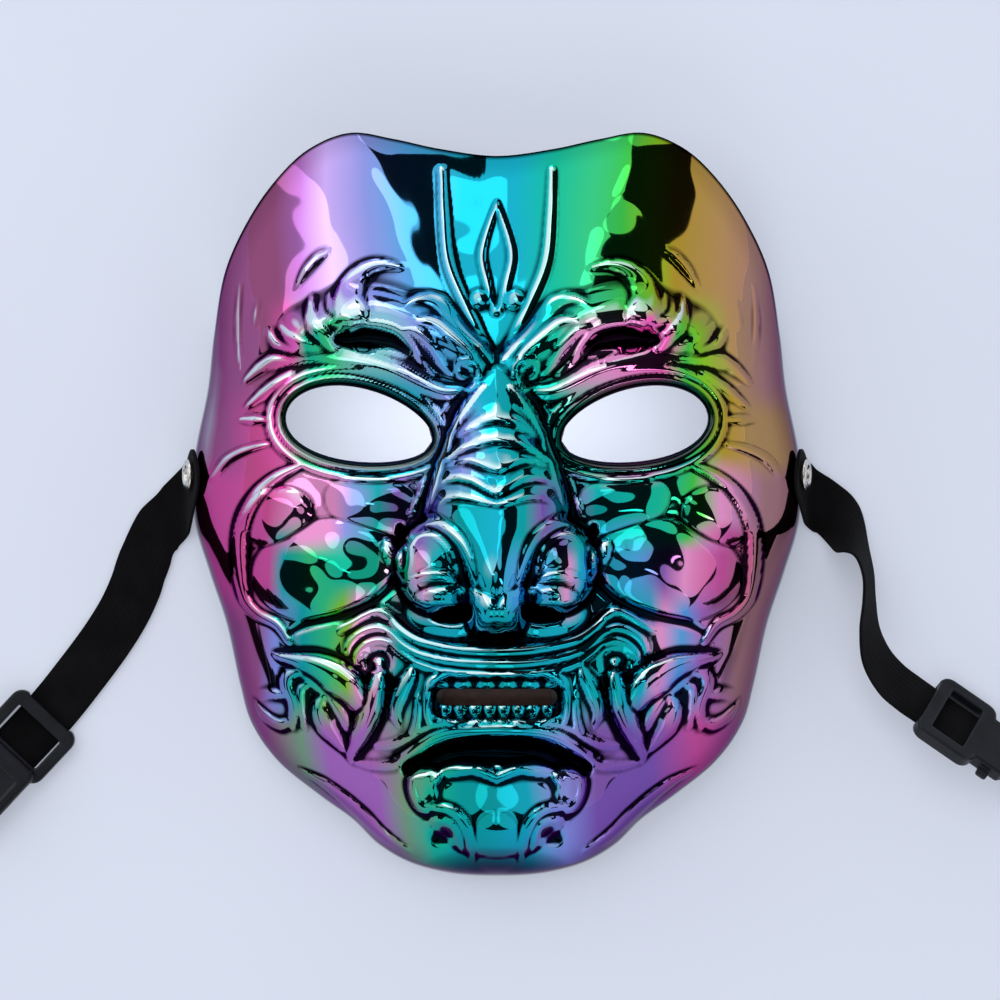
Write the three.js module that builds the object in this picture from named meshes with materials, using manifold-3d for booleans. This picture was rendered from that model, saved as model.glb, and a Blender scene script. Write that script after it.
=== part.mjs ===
// Warrior face mask of thin plated plastic, lying face up on its rim, with its two band halves.
// Millimetres, +Z up. X runs across the face, Y towards the forehead, and the rim rests on z = 0.
// Almost everything on the face is the same left and right, so it is given for the right half (x > 0).
import * as THREE from 'three';
import { mergeVertices } from 'three/addons/utils/BufferGeometryUtils.js';
import Module from 'manifold-3d';

const wasm = await Module();
wasm.setup();

// Driving sizes
const WALL = 2.4;              // thickness of the moulded shell
const GAP = 0.3;               // clearance between touching pieces
const CROWN = 57;              // height of the plain dome over the floor
const RIM_BAND = 1.2;          // upright band round the rim
const RIM_LIFT = 28;           // how far the rim rises at the forehead
const RIM_LIFT_FROM = 45;      // y where the rim starts to rise
const RIM_LIFT_TO = 118;       // y where it is fully up

const BAND_WIDE = 17;          // elastic band
const BAND_THICK = 1.4;
const BAND_TAIL = 6.5;         // from the rivet to the band's cut end
const BAND_FOLD = 3.5;         // radius of the bend from the wall to the floor
const RIVET_AT = [10.5, 9];    // y and z of the rivets in the side walls
const RIVET_HEAD = 5;          // radius
const RIVET_SHANK = 2;         // radius
const RIVET_HOLE = 2.4;        // radius in the wall and in the band

const FACE_STEPS = 100;        // divisions of half the face across, twice as many down
const FACE_TRIANGLES = 2600;   // what is left of them on each half
const CAVITY_STEPS = 56;       // the same for the plainer inside
const CAVITY_TRIANGLES = 760;
const CAVITY_WALL = 2.6;       // a little over WALL, because a thinned face cuts its corners
const CAVITY_LOOSE = 1.7;      // how much further it keeps sideways in the middle of the face

const BACKING = { half: 25, top: -52, bottom: -68.5, thick: 1.5 };

// Buckle frames, measured along the band (long) and across it, and the two halves' own parts
const FRAME = { halfWide: 13, long: 22, high: 5, barNear: 5, barFar: 5, round: 4 };
const HOUSING = { long: 25, halfWide: 11, high: 9, wall: 1.8, round: 2.5, windowFrom: 8, windowTo: 17 };
const PLUG = { low: 0.6, high: 4.4, body: 11, halfWide: 9.5, guide: 20, arm: 27, hook: 11 };
const TAB = { from: 3, to: 7, halfWide: 12.5 };

// Where the buckle halves lie: middle of the near edge, heading and roll about it in degrees
const BUCKLE_LEFT = { at: [-145.2, -66.6], heading: 227, roll: 0 };
const BUCKLE_RIGHT = { at: [138.4, -64.8], heading: -34.6, roll: 42 };

// Bands from the fold beside the mask to the buckle: a centre and the direction of the width.
// The right one stands up on its edge on the way.
const BAND_LEFT = {
  lean: 46,
  floor: [
    { at: [-106.6, -3.8, 1], across: [-0.23, 0.97, 0] },
    { at: [-110.8, -9, 1], across: [-0.48, 0.88, 0] },
    { at: [-115.1, -18.3, 1], across: [-0.76, 0.65, 0] },
    { at: [-118, -26.6, 1], across: [-0.88, 0.48, 0] },
    { at: [-121.7, -34.5, 1], across: [-0.9, 0.43, 0] },
    { at: [-127.4, -43.6, 1], across: [-0.85, 0.53, 0] },
    { at: [-135.7, -54.8, 1], across: [-0.79, 0.61, 0] },
    { at: [-145.2, -66.6, 1], across: [-0.731, 0.682, 0] },
    { at: [-158.8, -81.2, 1], across: [-0.731, 0.682, 0] },
  ],
};
const BAND_RIGHT = {
  lean: 38,
  floor: [
    { at: [107.5, -0.6, 1.7], across: [0.12, 0.99, -0.04] },
    { at: [112, -4.8, 5.2], across: [0.3, 0.88, -0.36] },
    { at: [115.6, -9.2, 8.3], across: [0.38, 0.54, -0.75] },
    { at: [118.4, -14.6, 9.4], across: [0.28, 0.18, -0.94] },
    { at: [120.4, -22, 9.6], across: [0.24, 0.06, -0.97] },
    { at: [120.7, -30, 9.6], across: [0.27, 0.02, -0.96] },
    { at: [120.8, -39.5, 9.5], across: [0.4, 0.07, -0.91] },
    { at: [123, -48.5, 9.3], across: [0.53, 0.27, -0.8] },
    { at: [127.8, -55.7, 9.2], across: [0.5, 0.5, -0.7] },
    { at: [133.4, -60.4, 9.3], across: [0.45, 0.6, -0.67] },
    { at: [138.8, -64.2, 9.45], across: [0.42, 0.61, -0.669] },
    { at: [155.2, -75.5, 9.45], across: [0.42, 0.61, -0.669] },
  ],
};

// Outline of the rim from the dip in the forehead round the right side to the chin
const OUTLINE = [
  [0, 112.6], [18, 114.8], [33, 118], [47, 120], [60, 115], [70.5, 105.5], [80, 92.5], [88, 76],
  [92, 56], [94.2, 38], [98.4, 16], [98.4, -4], [93.6, -21], [88, -38], [83.8, -57], [79.8, -70.5],
  [71, -83], [57.5, -94], [47, -101.6], [38.5, -109.8], [28, -115.8], [14.5, -119.2], [0, -120],
];

// Eye opening: a teardrop on a turned axis, rounder at the temple
const EYE = { at: [43.8, 26.1], turn: 10.6, long: 23.8, high: 11.7, pear: 0.13, bow: -0.76 };

// Mouth: a slot right through, in a sunken field that holds the teeth
const MOUTH_SLOT = { half: 19.2, top: -57.4, bottom: -62.8 };
const MOUTH_FIELD = { half: 20.6, top: -53.6, bottom: -67.4, deep: 4.4 };
const TEETH = [
  { pitch: 7.2, count: 3, y: -55.6, half: [3.1, 2.4], high: 2.6 },
  { pitch: 6.4, count: 3, y: -65, half: [2.7, 2.5], high: 2.6 },
];

// Nose, from the brow down to the lip
const BRIDGE_Y = [50, 44, 30, 15, 0, -12, -22, -30, -36, -41, -44];
const BRIDGE_RISE = [0, 3, 9, 15, 20, 24.5, 26.5, 25, 18, 8, 0];
const BRIDGE_HALF = [5, 7, 13, 18, 20, 18.5, 15.5, 12.5, 10, 8, 6];

// Rounded swellings: centre, half sizes, turn in degrees, height, and how sharp the edge is
const SWELLS = {
  noseWing: { at: [19.4, -17.5], size: [12, 13.5], turn: 0, high: 14.5, edge: 0.6 },
  socket: { at: [43, 26], size: [33, 20], turn: 8, high: -6, edge: 1.5 },
  browBulge: { at: [35, 67.5], size: [15, 11], turn: 0, high: 2.4, edge: 0.9 },
  cheekApple: { at: [54, -19.5], size: [25, 16.5], turn: -8, high: 8, edge: 0.65 },
  cheekLobe: { at: [70, -3.2], size: [11.8, 9.8], turn: -20, high: 5.5, edge: 0.65 },
  cheekTop: { at: [39, 0.8], size: [15, 9.4], turn: 12, high: 4, edge: 0.75 },
  muzzle: { at: [0, -58], size: [52, 30], turn: 0, high: 9, edge: 1.3 },
  nostril: { at: [16, -28], size: [8.6, 3], turn: 4, high: -4, edge: 1 },
  cornerPit: { at: [37.6, -48.8], size: [5, 4], turn: 0, high: -2.4, edge: 1 },
  cornerBead: { at: [37.6, -49], size: [2.2, 1.8], turn: 0, high: 2.4, edge: 0.7 },
  eyelet: { at: [33.2, -14.6], size: [2.8, 5], turn: -18, high: 2.2, edge: 0.6 },
  foreheadBead: { at: [5.4, 66], size: [3.6, 3.4], turn: 0, high: 1.8, edge: 0.6 },
  chinBoss: { at: [0, -94], size: [24.5, 12.5], turn: 0, high: 6.5, edge: 0.55 },
  chinLobe: { at: [26, -90.4], size: [5.6, 8.4], turn: 0, high: 5, edge: 0.55 },
  chinKeel: { at: [0, -108], size: [8, 11], turn: 0, high: 2.6, edge: 0.8 },
};

// Long soft forms: centre line, half widths along it and height
const FOLDS = {
  brow: { path: [[8, 49], [25, 60], [42, 66], [62, 58]], wide: [9, 14, 14, 9], high: 7 },
  lipHollow: { path: [[0, -76.8], [14, -78], [28, -83.5]], wide: [5.6, 5.4, 3], high: -5 },
  cheekCrease: {
    path: [[30.4, -6], [29.4, -17], [33.4, -25], [41, -31], [50, -34.4], [60, -37], [66, -40]],
    wide: [1.2, 2, 2.2, 2.2, 2.2, 2, 1], high: -2,
  },
};

// Carved rolls: centre line, half widths along it and height. Where the name ends in a number
// the rolls lie beside each other.
const ROLLS = {
  foreheadRidge: {
    path: [[17.6, 108], [17, 93], [15.4, 78], [9.8, 64], [1.8, 48]],
    wide: [1.5, 1.8, 1.9, 1.8, 1.4], high: 1.9,
  },
  foreheadFlame: {
    path: [[0, 97], [4.6, 82], [3.2, 72], [0.6, 62]],
    wide: [0.8, 1.5, 1.5, 1.1], high: 1.5,
  },
  browCurl: {
    path: [[30, 77], [37, 78.2], [43, 75.6], [47.3, 70], [47.6, 64], [44, 60]],
    wide: [0.5, 1.5, 2.9, 4.2, 4.4, 3.2], high: 3.8,
  },
  browCurlEdge: {
    path: [[51.8, 66], [50.2, 60], [45, 57.2], [38, 56.6], [31, 56.2], [25.5, 52.5], [19, 46.5], [13.5, 41]],
    wide: [0.8, 1.2, 1.4, 1.5, 1.6, 1.7, 1.7, 1.3], high: 1.9,
  },
  browLock1: {
    path: [[61, 67], [60.5, 59.5], [56.8, 53.4], [51.5, 50.6]],
    wide: [0.5, 2.3, 3, 2.2], high: 3,
  },
  browLock2: { path: [[57.2, 65.8], [54.6, 61], [51, 56.6]], wide: [0.4, 1.8, 1.4], high: 2.2 },
  browLock3: {
    path: [[71, 58], [69, 52.6], [62.5, 49.4], [55, 48.4]],
    wide: [0.6, 2.1, 2.3, 1.4], high: 2.5,
  },
  browCrescent: {
    path: [[64.4, 70.3], [61.3, 76], [57.6, 80], [53.4, 82]],
    wide: [0.4, 1.5, 1.5, 0.4], high: 1.7,
  },
  templeLock1: {
    path: [[81, 40.6], [76.5, 45], [71, 48], [64.5, 47.2]],
    wide: [1.2, 2.1, 2.1, 1.6], high: 2.3,
  },
  templeLock2: {
    path: [[80, 32.6], [75.2, 36.8], [70.5, 40.2], [66, 43]],
    wide: [1.2, 2, 2.1, 1.4], high: 2.3,
  },
  templeLock3: { path: [[82.5, 28.2], [78, 28], [73, 28]], wide: [0.6, 1.7, 1], high: 1.8 },
  browBand: {
    path: [[67, 43.6], [60, 46.2], [52, 47], [42.5, 46], [32, 42.8], [23, 37.6], [16, 34]],
    wide: [1.8, 2.4, 2.6, 2.8, 2.8, 2.4, 1.5], high: 2.8,
  },
  innerLock1: {
    path: [[28.6, 65.4], [22.5, 66], [16, 62], [10, 56.5], [4.8, 51.5], [1.6, 46.5]],
    wide: [0.6, 2.4, 2.9, 2.6, 2.1, 1.2], high: 3,
  },
  innerLock2: { path: [[22, 58.6], [17.5, 54.4], [13.6, 50]], wide: [1, 2.9, 1.2], high: 2 },
  innerLock3: {
    path: [[29, 55.4], [23.6, 50], [18.8, 44], [13.6, 38.6]],
    wide: [0.9, 1.6, 1.6, 1], high: 2,
  },
  bridgeEdge: {
    path: [[4.6, 38], [12, 29], [16.8, 19.5], [19.2, 8.6], [23, -3.6]],
    wide: [1, 1.7, 1.8, 1.8, 1.3], high: 1.8,
  },
  bridgeBand1: { path: [[0, 33], [6, 28.8], [11.6, 23.6]], wide: [1.4, 1.6, 1], high: 1.3 },
  bridgeBand2: { path: [[0, 19.6], [8, 17.8], [16, 13.4]], wide: [1.6, 1.7, 1.1], high: 1.4 },
  bridgeBand3: { path: [[0, 4.6], [8, 8.4], [16.5, 9.4]], wide: [1.7, 1.7, 1.1], high: 1.4 },
  wingRoll1: {
    path: [[24.5, -5.8], [19, -3], [13.6, -5.6], [9.8, -11.8], [7.6, -19.5], [6.8, -27.5]],
    wide: [1.1, 1.7, 1.8, 1.8, 1.7, 1.1], high: 1.8,
  },
  wingRoll2: {
    path: [[29.5, -22], [22, -20.6], [15.5, -21.6], [10.2, -25.6], [7.4, -31]],
    wide: [1, 1.7, 1.8, 1.6, 1], high: 1.8,
  },
  cheekRidge: {
    path: [
      [63.2, 13], [69.5, 10], [75.8, 5], [80.4, -2], [82.4, -10], [82.6, -20], [81.2, -29], [77, -34],
      [70.5, -37.4], [66.4, -43],
    ],
    wide: [1.1, 1.6, 1.8, 1.9, 1.9, 1.8, 1.7, 1.6, 1.6, 1.2], high: 2.2,
  },
  templeWrinkle: {
    path: [[73.3, 20.1], [81, 18.2], [87, 15], [91.4, 9.5]], wide: [0.8, 1.4, 1.5, 1], high: 1.6,
  },
  lipRoll1: {
    path: [
      [47.5, -40.5], [43.5, -36.8], [38, -33.8], [33.5, -35.5], [28.5, -40], [20, -43.6], [10, -45.2],
      [0, -45.7],
    ],
    wide: [1.2, 1.7, 1.9, 1.9, 1.9, 1.9, 1.9, 1.9], high: 2.4,
  },
  lipRoll2: {
    path: [
      [48.4, -46], [45.5, -41], [39.6, -38.6], [34.6, -39.7], [28.5, -43.6], [19, -47.3], [9, -49], [0, -49.4],
    ],
    wide: [1.1, 1.5, 1.6, 1.7, 1.8, 1.8, 1.8, 1.8], high: 2.2,
  },
  lipRoll3: {
    path: [
      [44.8, -48], [42.8, -44], [38, -42.4], [33.5, -44], [28, -48.2], [19, -51.4], [9, -52.8], [0, -53],
    ],
    wide: [1, 1.3, 1.4, 1.5, 1.6, 1.6, 1.6, 1.6], high: 1.8,
  },
  tusk: {
    path: [[70.5, -47.2], [61, -48.6], [51.5, -52.2], [44.5, -57.6], [42.4, -62]],
    wide: [0.5, 2.6, 4.6, 5.4, 3.8], high: 8, edge: 0.6,
  },
  gumLeaf: {
    path: [[66.5, -51.4], [58, -54.6], [51.5, -60.4], [47.8, -67], [45.8, -75]],
    wide: [0.5, 1.6, 1.9, 1.8, 0.6], high: 2.4,
  },
  fang: {
    path: [[33, -50.5], [35.6, -59], [38.6, -67.5], [42.6, -75], [47.2, -82.2]],
    wide: [2.8, 3.3, 3, 2.2, 0.4], high: 6.8, edge: 0.6,
  },
  outerLeaf: {
    path: [[56, -59], [57, -66.5], [53, -73], [47.4, -78.6]],
    wide: [1, 3.4, 3, 0.5], high: 3.4,
  },
  hookFold1: {
    path: [[63, -53], [67.6, -56.4], [66.2, -62.5], [65, -70]],
    wide: [1, 2.1, 1.9, 1], high: 2.2,
  },
  hookFold2: { path: [[59.6, -55.5], [62.4, -61], [61.8, -70]], wide: [0.8, 1.5, 0.9], high: 1.7 },
  cornerColumn: {
    path: [[28.3, -51.5], [31, -59.5], [30.2, -67.5], [27.4, -73.5]],
    wide: [2.2, 2.9, 2.6, 1.4], high: 3.4,
  },
  mouthFrame: {
    path: [[16, -52.6], [21.6, -56.8], [23.4, -62.5], [22, -69]],
    wide: [1.2, 1.7, 1.8, 1.2], high: 2.2,
  },
  lowerLip1: {
    path: [[46.6, -82.2], [39, -82.4], [32.5, -80.8], [27, -76.4], [20, -72.6], [10, -70.8], [0, -70.4]],
    wide: [0.8, 1.5, 1.9, 2.1, 2.2, 2.2, 2.2], high: 3.2,
  },
  lowerLip2: { path: [[38.5, -75.4], [31.5, -75], [25, -71.4]], wide: [0.7, 1.4, 1.2], high: 1.6 },
  chinBrim: {
    path: [[24, -88.5], [20, -84.6], [13, -82.4], [6.5, -82.8], [0, -85.4]],
    wide: [1, 1.6, 1.9, 1.8, 1.4], high: 2.2,
  },
  chinLeaf1: {
    path: [[24, -96.4], [17, -95.8], [12, -99], [8.8, -106], [7.8, -113.5]],
    wide: [0.9, 1.6, 1.8, 1.7, 0.9], high: 2.2,
  },
  chinLeaf2: { path: [[22.6, -102.4], [17, -101.6], [13, -107.5]], wide: [0.7, 2.3, 0.7], high: 1.9 },
  jawRim: {
    path: [[63, -85.4], [55.5, -89.4], [48.2, -95.2], [41.5, -101.6], [35.5, -107], [28, -111.4]],
    wide: [0.6, 1.4, 1.5, 1.5, 1.4, 0.7], high: 1.5,
  },
};

const SPIRAL = { at: [9.6, 43.2], from: 4, to: 1.2, turns: 1.3, start: 200, wide: 1.2, high: 2.2 };

// Rolls that follow the edge of the eye opening at a distance
const EYE_ROLLS = [{ off: 2.3, half: 2.3, high: 2 }, { off: 7, half: 1.9, high: 1.6 }];

const { clamp, lerp, degToRad } = THREE.MathUtils;

const smooth = (value, low, high) => THREE.MathUtils.smoothstep(value, low, high);

// Value at a place in a falling or rising list of stations
function along(stations, values, at) {
  const rising = stations[stations.length - 1] > stations[0];
  for (let i = 0; i < stations.length - 1; i += 1) {
    const [a, b] = [stations[i], stations[i + 1]];
    const inside = rising ? at <= b : at >= b;
    if (inside) return lerp(values[i], values[i + 1], smooth((at - a) / (b - a), 0, 1));
  }
  return values[values.length - 1];
}

// Points of a smooth curve through the given ones, six to a span
const SPAN_STEPS = 6;
function curvePoints(points) {
  const curve = new THREE.SplineCurve(points.map(([x, y]) => new THREE.Vector2(x, y)));
  return curve.getPoints(SPAN_STEPS * (points.length - 1));
}

// A carved line is its points with a half width at each, and the box that it reaches
function makeLine({ path, wide, high, edge = 0.75 }) {
  const points = curvePoints(path);
  const widths = points.map((_, i) => {
    const span = Math.min(Math.floor(i / SPAN_STEPS), wide.length - 2);
    return lerp(wide[span], wide[span + 1], i / SPAN_STEPS - span);
  });
  const most = Math.max(...widths);
  const box = new THREE.Box2().setFromPoints(points).expandByScalar(most);
  return { points, widths, most, box, high, edge };
}

// Nearest distance from a place to a line, and the half width there
function nearest(line, x, y) {
  let best = Infinity;
  let width = 0;
  for (let i = 0; i < line.points.length - 1; i += 1) {
    const a = line.points[i];
    const b = line.points[i + 1];
    const [dx, dy] = [b.x - a.x, b.y - a.y];
    const t = clamp(((x - a.x) * dx + (y - a.y) * dy) / (dx * dx + dy * dy), 0, 1);
    const away = Math.hypot(x - a.x - t * dx, y - a.y - t * dy);
    if (away < best) {
      best = away;
      width = lerp(line.widths[i], line.widths[i + 1], t);
    }
  }
  return [best, width];
}

// Height of a rounded roll that thins out with its width
function lineHeight(line, x, y) {
  const { min, max } = line.box;
  if (x < min.x || x > max.x || y < min.y || y > max.y) return 0;
  const [away, width] = nearest(line, x, y);
  if (away >= width) return 0;
  return line.high * (width / line.most) ** 0.6 * (1 - (away / width) ** 2) ** line.edge;
}

function swellHeight({ at, size, turn, high, edge }, x, y) {
  const angle = degToRad(turn);
  const [dx, dy] = [x - at[0], y - at[1]];
  const across = (dx * Math.cos(angle) + dy * Math.sin(angle)) / size[0];
  const up = (dy * Math.cos(angle) - dx * Math.sin(angle)) / size[1];
  const reach = across * across + up * up;
  return reach < 1 ? high * (1 - reach) ** edge : 0;
}

// Radius of the rim at an angle from the forehead, 0, round to the chin, 180 degrees
const halfOutline = curvePoints([[-18, 114.8], ...OUTLINE, [-14.5, -119.2]])
  .slice(SPAN_STEPS, -SPAN_STEPS)
  .map((p) => ({ angle: Math.atan2(Math.abs(p.x), p.y), radius: p.length() }));
function rimRadius(angle) {
  let i = 1;
  while (i < halfOutline.length - 1 && halfOutline[i].angle < angle) i += 1;
  const [a, b] = [halfOutline[i - 1], halfOutline[i]];
  return lerp(a.radius, b.radius, clamp((angle - a.angle) / (b.angle - a.angle), 0, 1));
}

const rimHeight = (y) => RIM_LIFT * smooth(y, RIM_LIFT_FROM, RIM_LIFT_TO);

// Plain dome: steep at the sides and chin, sloping gently at the forehead
function domeHeight(x, y) {
  const radius = Math.hypot(x, y);
  const reach = Math.min(radius / rimRadius(Math.atan2(x, y)), 1);
  const top = smooth(radius > 0 ? y / radius : 0, 0.35, 0.95);
  const rim = rimHeight(y) + RIM_BAND;
  return rim + (CROWN - rim) * (1 - reach ** 3) ** lerp(0.6, 0.8, top);
}

function noseHeight(x, y) {
  const half = along(BRIDGE_Y, BRIDGE_HALF, y);
  const rise = along(BRIDGE_Y, BRIDGE_RISE, y);
  const bridge = x < half ? rise * (1 - (x / half) ** 2.4) ** 0.8 : 0;
  const wing = swellHeight(SWELLS.noseWing, x, y);
  const blend = Math.hypot(bridge, wing) - Math.min(bridge, wing) * 0.35;
  return Math.max(blend, bridge, wing);
}

const softLine = ([name, fold]) => [name, makeLine({ ...fold, edge: 2 })];
const folds = Object.fromEntries(Object.entries(FOLDS).map(softLine));

function mouthField(x, y) {
  const { half, top, bottom, deep } = MOUTH_FIELD;
  const [middle, tall] = [(top + bottom) / 2, (top - bottom) / 2];
  const reach = (x / half) ** 6 + (Math.abs(y - middle) / tall) ** 6;
  return reach < 1 ? -deep * (1 - reach) ** 0.4 : 0;
}

// The large forms, which the inside of the shell follows too
function formHeight(x, y) {
  const cheek = Math.max(
    swellHeight(SWELLS.cheekApple, x, y),
    swellHeight(SWELLS.cheekLobe, x, y),
    swellHeight(SWELLS.cheekTop, x, y),
  );
  return domeHeight(x, y) + noseHeight(x, y) + cheek
    + lineHeight(folds.brow, x, y) + swellHeight(SWELLS.browBulge, x, y) + swellHeight(SWELLS.socket, x, y)
    + swellHeight(SWELLS.muzzle, x, y) + mouthField(x, y) + lineHeight(folds.lipHollow, x, y)
    + Math.max(swellHeight(SWELLS.chinBoss, x, y), swellHeight(SWELLS.chinLobe, x, y));
}

function eyePoint(angle) {
  const forward = EYE.long * Math.cos(angle);
  const across = EYE.high * Math.sin(angle) * (1 + EYE.pear * Math.cos(angle))
    + EYE.bow * Math.cos(angle) ** 2;
  const turn = degToRad(EYE.turn);
  return new THREE.Vector2(
    EYE.at[0] + forward * Math.cos(turn) - across * Math.sin(turn),
    EYE.at[1] + forward * Math.sin(turn) + across * Math.cos(turn),
  );
}

const EYE_SIDES = 36;
const eyeOutline = Array.from({ length: EYE_SIDES }, (_, i) => eyePoint((i / EYE_SIDES) * 2 * Math.PI));
const eyeLoop = { points: [...eyeOutline, eyeOutline[0]], widths: Array(EYE_SIDES + 1).fill(1) };

// Distance outside the eye opening, 0 inside it
function eyeDistance(x, y) {
  let crossings = 0;
  for (let i = 0; i < EYE_SIDES; i += 1) {
    const [a, b] = [eyeLoop.points[i], eyeLoop.points[i + 1]];
    if (a.y > y !== b.y > y && x < a.x + ((y - a.y) * (b.x - a.x)) / (b.y - a.y)) crossings += 1;
  }
  return crossings % 2 ? 0 : nearest(eyeLoop, x, y)[0];
}

function eyeRolls(x, y) {
  if (Math.abs(x - EYE.at[0]) > 36 || Math.abs(y - EYE.at[1]) > 26) return 0;
  const away = eyeDistance(x, y);
  const heights = EYE_ROLLS.map(({ off, half, high }) => {
    const reach = ((away - off) / half) ** 2;
    return away > 0 && reach < 1 ? high * (1 - reach) ** 0.75 : 0;
  });
  return Math.max(...heights);
}

function teethHeight(x, y) {
  let best = 0;
  for (const { pitch, count, y: middle, half, high } of TEETH) {
    for (let i = 0; i < count; i += 1) {
      const reach = (Math.abs(x - (i + 0.5) * pitch) / half[0]) ** 4 + (Math.abs(y - middle) / half[1]) ** 4;
      if (reach < 1) best = Math.max(best, high * (1 - reach) ** 0.5);
    }
  }
  return best;
}

function spiralPath({ at, from, to, turns, start }) {
  const count = Math.ceil(turns * 8);
  return Array.from({ length: count + 1 }, (_, i) => {
    const radius = lerp(from, to, i / count);
    const angle = degToRad(start) - (i / count) * turns * 2 * Math.PI;
    return [at[0] + radius * Math.cos(angle), at[1] + radius * Math.sin(angle)];
  });
}

const spiral = spiralPath(SPIRAL);
const rolls = Object.values(ROLLS).map(makeLine);
rolls.push(makeLine({ path: spiral, wide: spiral.map(() => SPIRAL.wide), high: SPIRAL.high }));

// The carving that stands on the large forms
function carvingHeight(x, y) {
  const { cornerBead, eyelet, foreheadBead, chinKeel } = SWELLS;
  const beads = [cornerBead, eyelet, foreheadBead, chinKeel].map((bead) => swellHeight(bead, x, y));
  const lines = rolls.map((roll) => lineHeight(roll, x, y));
  return Math.max(eyeRolls(x, y), teethHeight(x, y), ...beads, ...lines);
}

// Creases and pits, cut into the forms
function pitHeight(x, y) {
  const pits = swellHeight(SWELLS.cornerPit, x, y) + swellHeight(SWELLS.nostril, x, y);
  return pits + lineHeight(folds.cheekCrease, x, y);
}

// Place on the face for a place in the square from -1 to 1: the square's edge goes to the rim
function rimPlace(s, t) {
  const [u, v] = [s * Math.sqrt(1 - (t * t) / 2), t * Math.sqrt(1 - (s * s) / 2)];
  const reach = Math.hypot(u, v);
  if (reach === 0) return [0, 0];
  const radius = rimRadius(Math.atan2(Math.abs(u), v)) * reach * (1.2 - 0.2 * reach);
  return [(u / reach) * radius, (v / reach) * radius];
}

function outerPoint(s, t) {
  const [x, y] = rimPlace(s, t);
  const side = Math.abs(x);
  return new THREE.Vector3(x, y, formHeight(side, y) + carvingHeight(side, y) + pitHeight(side, y));
}

// Height of the inside: the highest place for the centre of a ball as thick as the wall that
// stays under the outer forms. In the middle of the face the ball is wider, so the inside is
// plainer there. Outside the rim there is nothing over it.
const BALL = [[0, 0, 1]];
for (const away of [0.5, 0.85, 1]) {
  for (let i = 0; i < 10; i += 1) {
    const angle = (i / 10) * 2 * Math.PI;
    BALL.push([away * Math.cos(angle), away * Math.sin(angle), Math.sqrt(1 - away * away)]);
  }
}
const CAVITY_FLOOR = -3;

function cavityPoint(s, t) {
  const [x, y] = rimPlace(s, t);
  const reach = CAVITY_WALL * lerp(CAVITY_LOOSE, 1, smooth(Math.hypot(x, y), 60, 85));
  let height = Infinity;
  for (const [dx, dy, up] of BALL) {
    const [px, py] = [Math.abs(x + reach * dx), y + reach * dy];
    const inside = Math.hypot(px, py) < rimRadius(Math.atan2(px, py));
    const over = inside ? formHeight(px, py) + pitHeight(px, py) - CAVITY_WALL * up : CAVITY_FLOOR;
    height = Math.min(height, over);
  }
  return new THREE.Vector3(x, y, Math.max(height, CAVITY_FLOOR));
}

// A face over the square, or over its right half, in even steps
function evenFace(columns, rows, fromS, pointAt) {
  const places = [];
  const triangles = [];
  for (let j = 0; j <= rows; j += 1) {
    const t = lerp(-1, 1, j / rows);
    for (let i = 0; i <= columns; i += 1) places.push(pointAt(lerp(fromS, 1, i / columns), t));
  }
  for (let j = 0; j < rows; j += 1) {
    for (let i = 0; i < columns; i += 1) {
      const a = j * (columns + 1) + i;
      const above = a + columns + 1;
      triangles.push([a, a + 1, above + 1], [a, above + 1, above]);
    }
  }
  return { places, triangles };
}

// Distance measure of a point to a set of planes, kept as the ten numbers of their quadric
function planeQuadric(normal, point, weight) {
  const [a, b, c] = normal;
  const d = -normal.dot(point);
  const products = [a * a, a * b, a * c, a * d, b * b, b * c, b * d, c * c, c * d, d * d];
  return products.map((value) => value * weight);
}

function quadricError(q, { x, y, z }) {
  return q[0] * x * x + 2 * q[1] * x * y + 2 * q[2] * x * z + 2 * q[3] * x
    + q[4] * y * y + 2 * q[5] * y * z + 2 * q[6] * y + q[7] * z * z + 2 * q[8] * z + q[9];
}

const edgeKey = (a, b) => (a < b ? `${a} ${b}` : `${b} ${a}`);

function faceNormal(places, [a, b, c]) {
  const edge = new THREE.Vector3().subVectors(places[b], places[a]);
  return edge.cross(new THREE.Vector3().subVectors(places[c], places[a]));
}

function edgesOf(triangles) {
  const edges = new Map();
  for (const [a, b, c] of triangles) {
    for (const [p, q] of [[a, b], [b, c], [c, a]]) {
      const key = edgeKey(p, q);
      if (edges.has(key)) edges.get(key).border = false;
      else edges.set(key, { from: p, to: q, border: true });
    }
  }
  return [...edges.values()];
}

// What each point's neighbourhood looks like: the planes of its triangles, and upright planes
// along the border so that the border keeps its line
function quadricsOf(places, triangles) {
  const quadrics = places.map(() => Array(10).fill(0));
  const add = (k, quadric) => quadric.forEach((value, i) => { quadrics[k][i] += value; });
  const borderNormal = new Map();
  for (const triangle of triangles) {
    const normal = faceNormal(places, triangle);
    const area = normal.length();
    normal.divideScalar(area);
    const quadric = planeQuadric(normal, places[triangle[0]], area);
    triangle.forEach((k, i) => {
      add(k, quadric);
      borderNormal.set(edgeKey(k, triangle[(i + 1) % 3]), normal);
    });
  }
  for (const { from, to, border } of edgesOf(triangles)) {
    if (!border) continue;
    const edge = new THREE.Vector3().subVectors(places[to], places[from]);
    const side = new THREE.Vector3().crossVectors(edge, borderNormal.get(edgeKey(from, to))).normalize();
    const quadric = planeQuadric(side, places[from], 20 * edge.lengthSq());
    add(from, quadric);
    add(to, quadric);
  }
  return quadrics;
}

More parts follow.
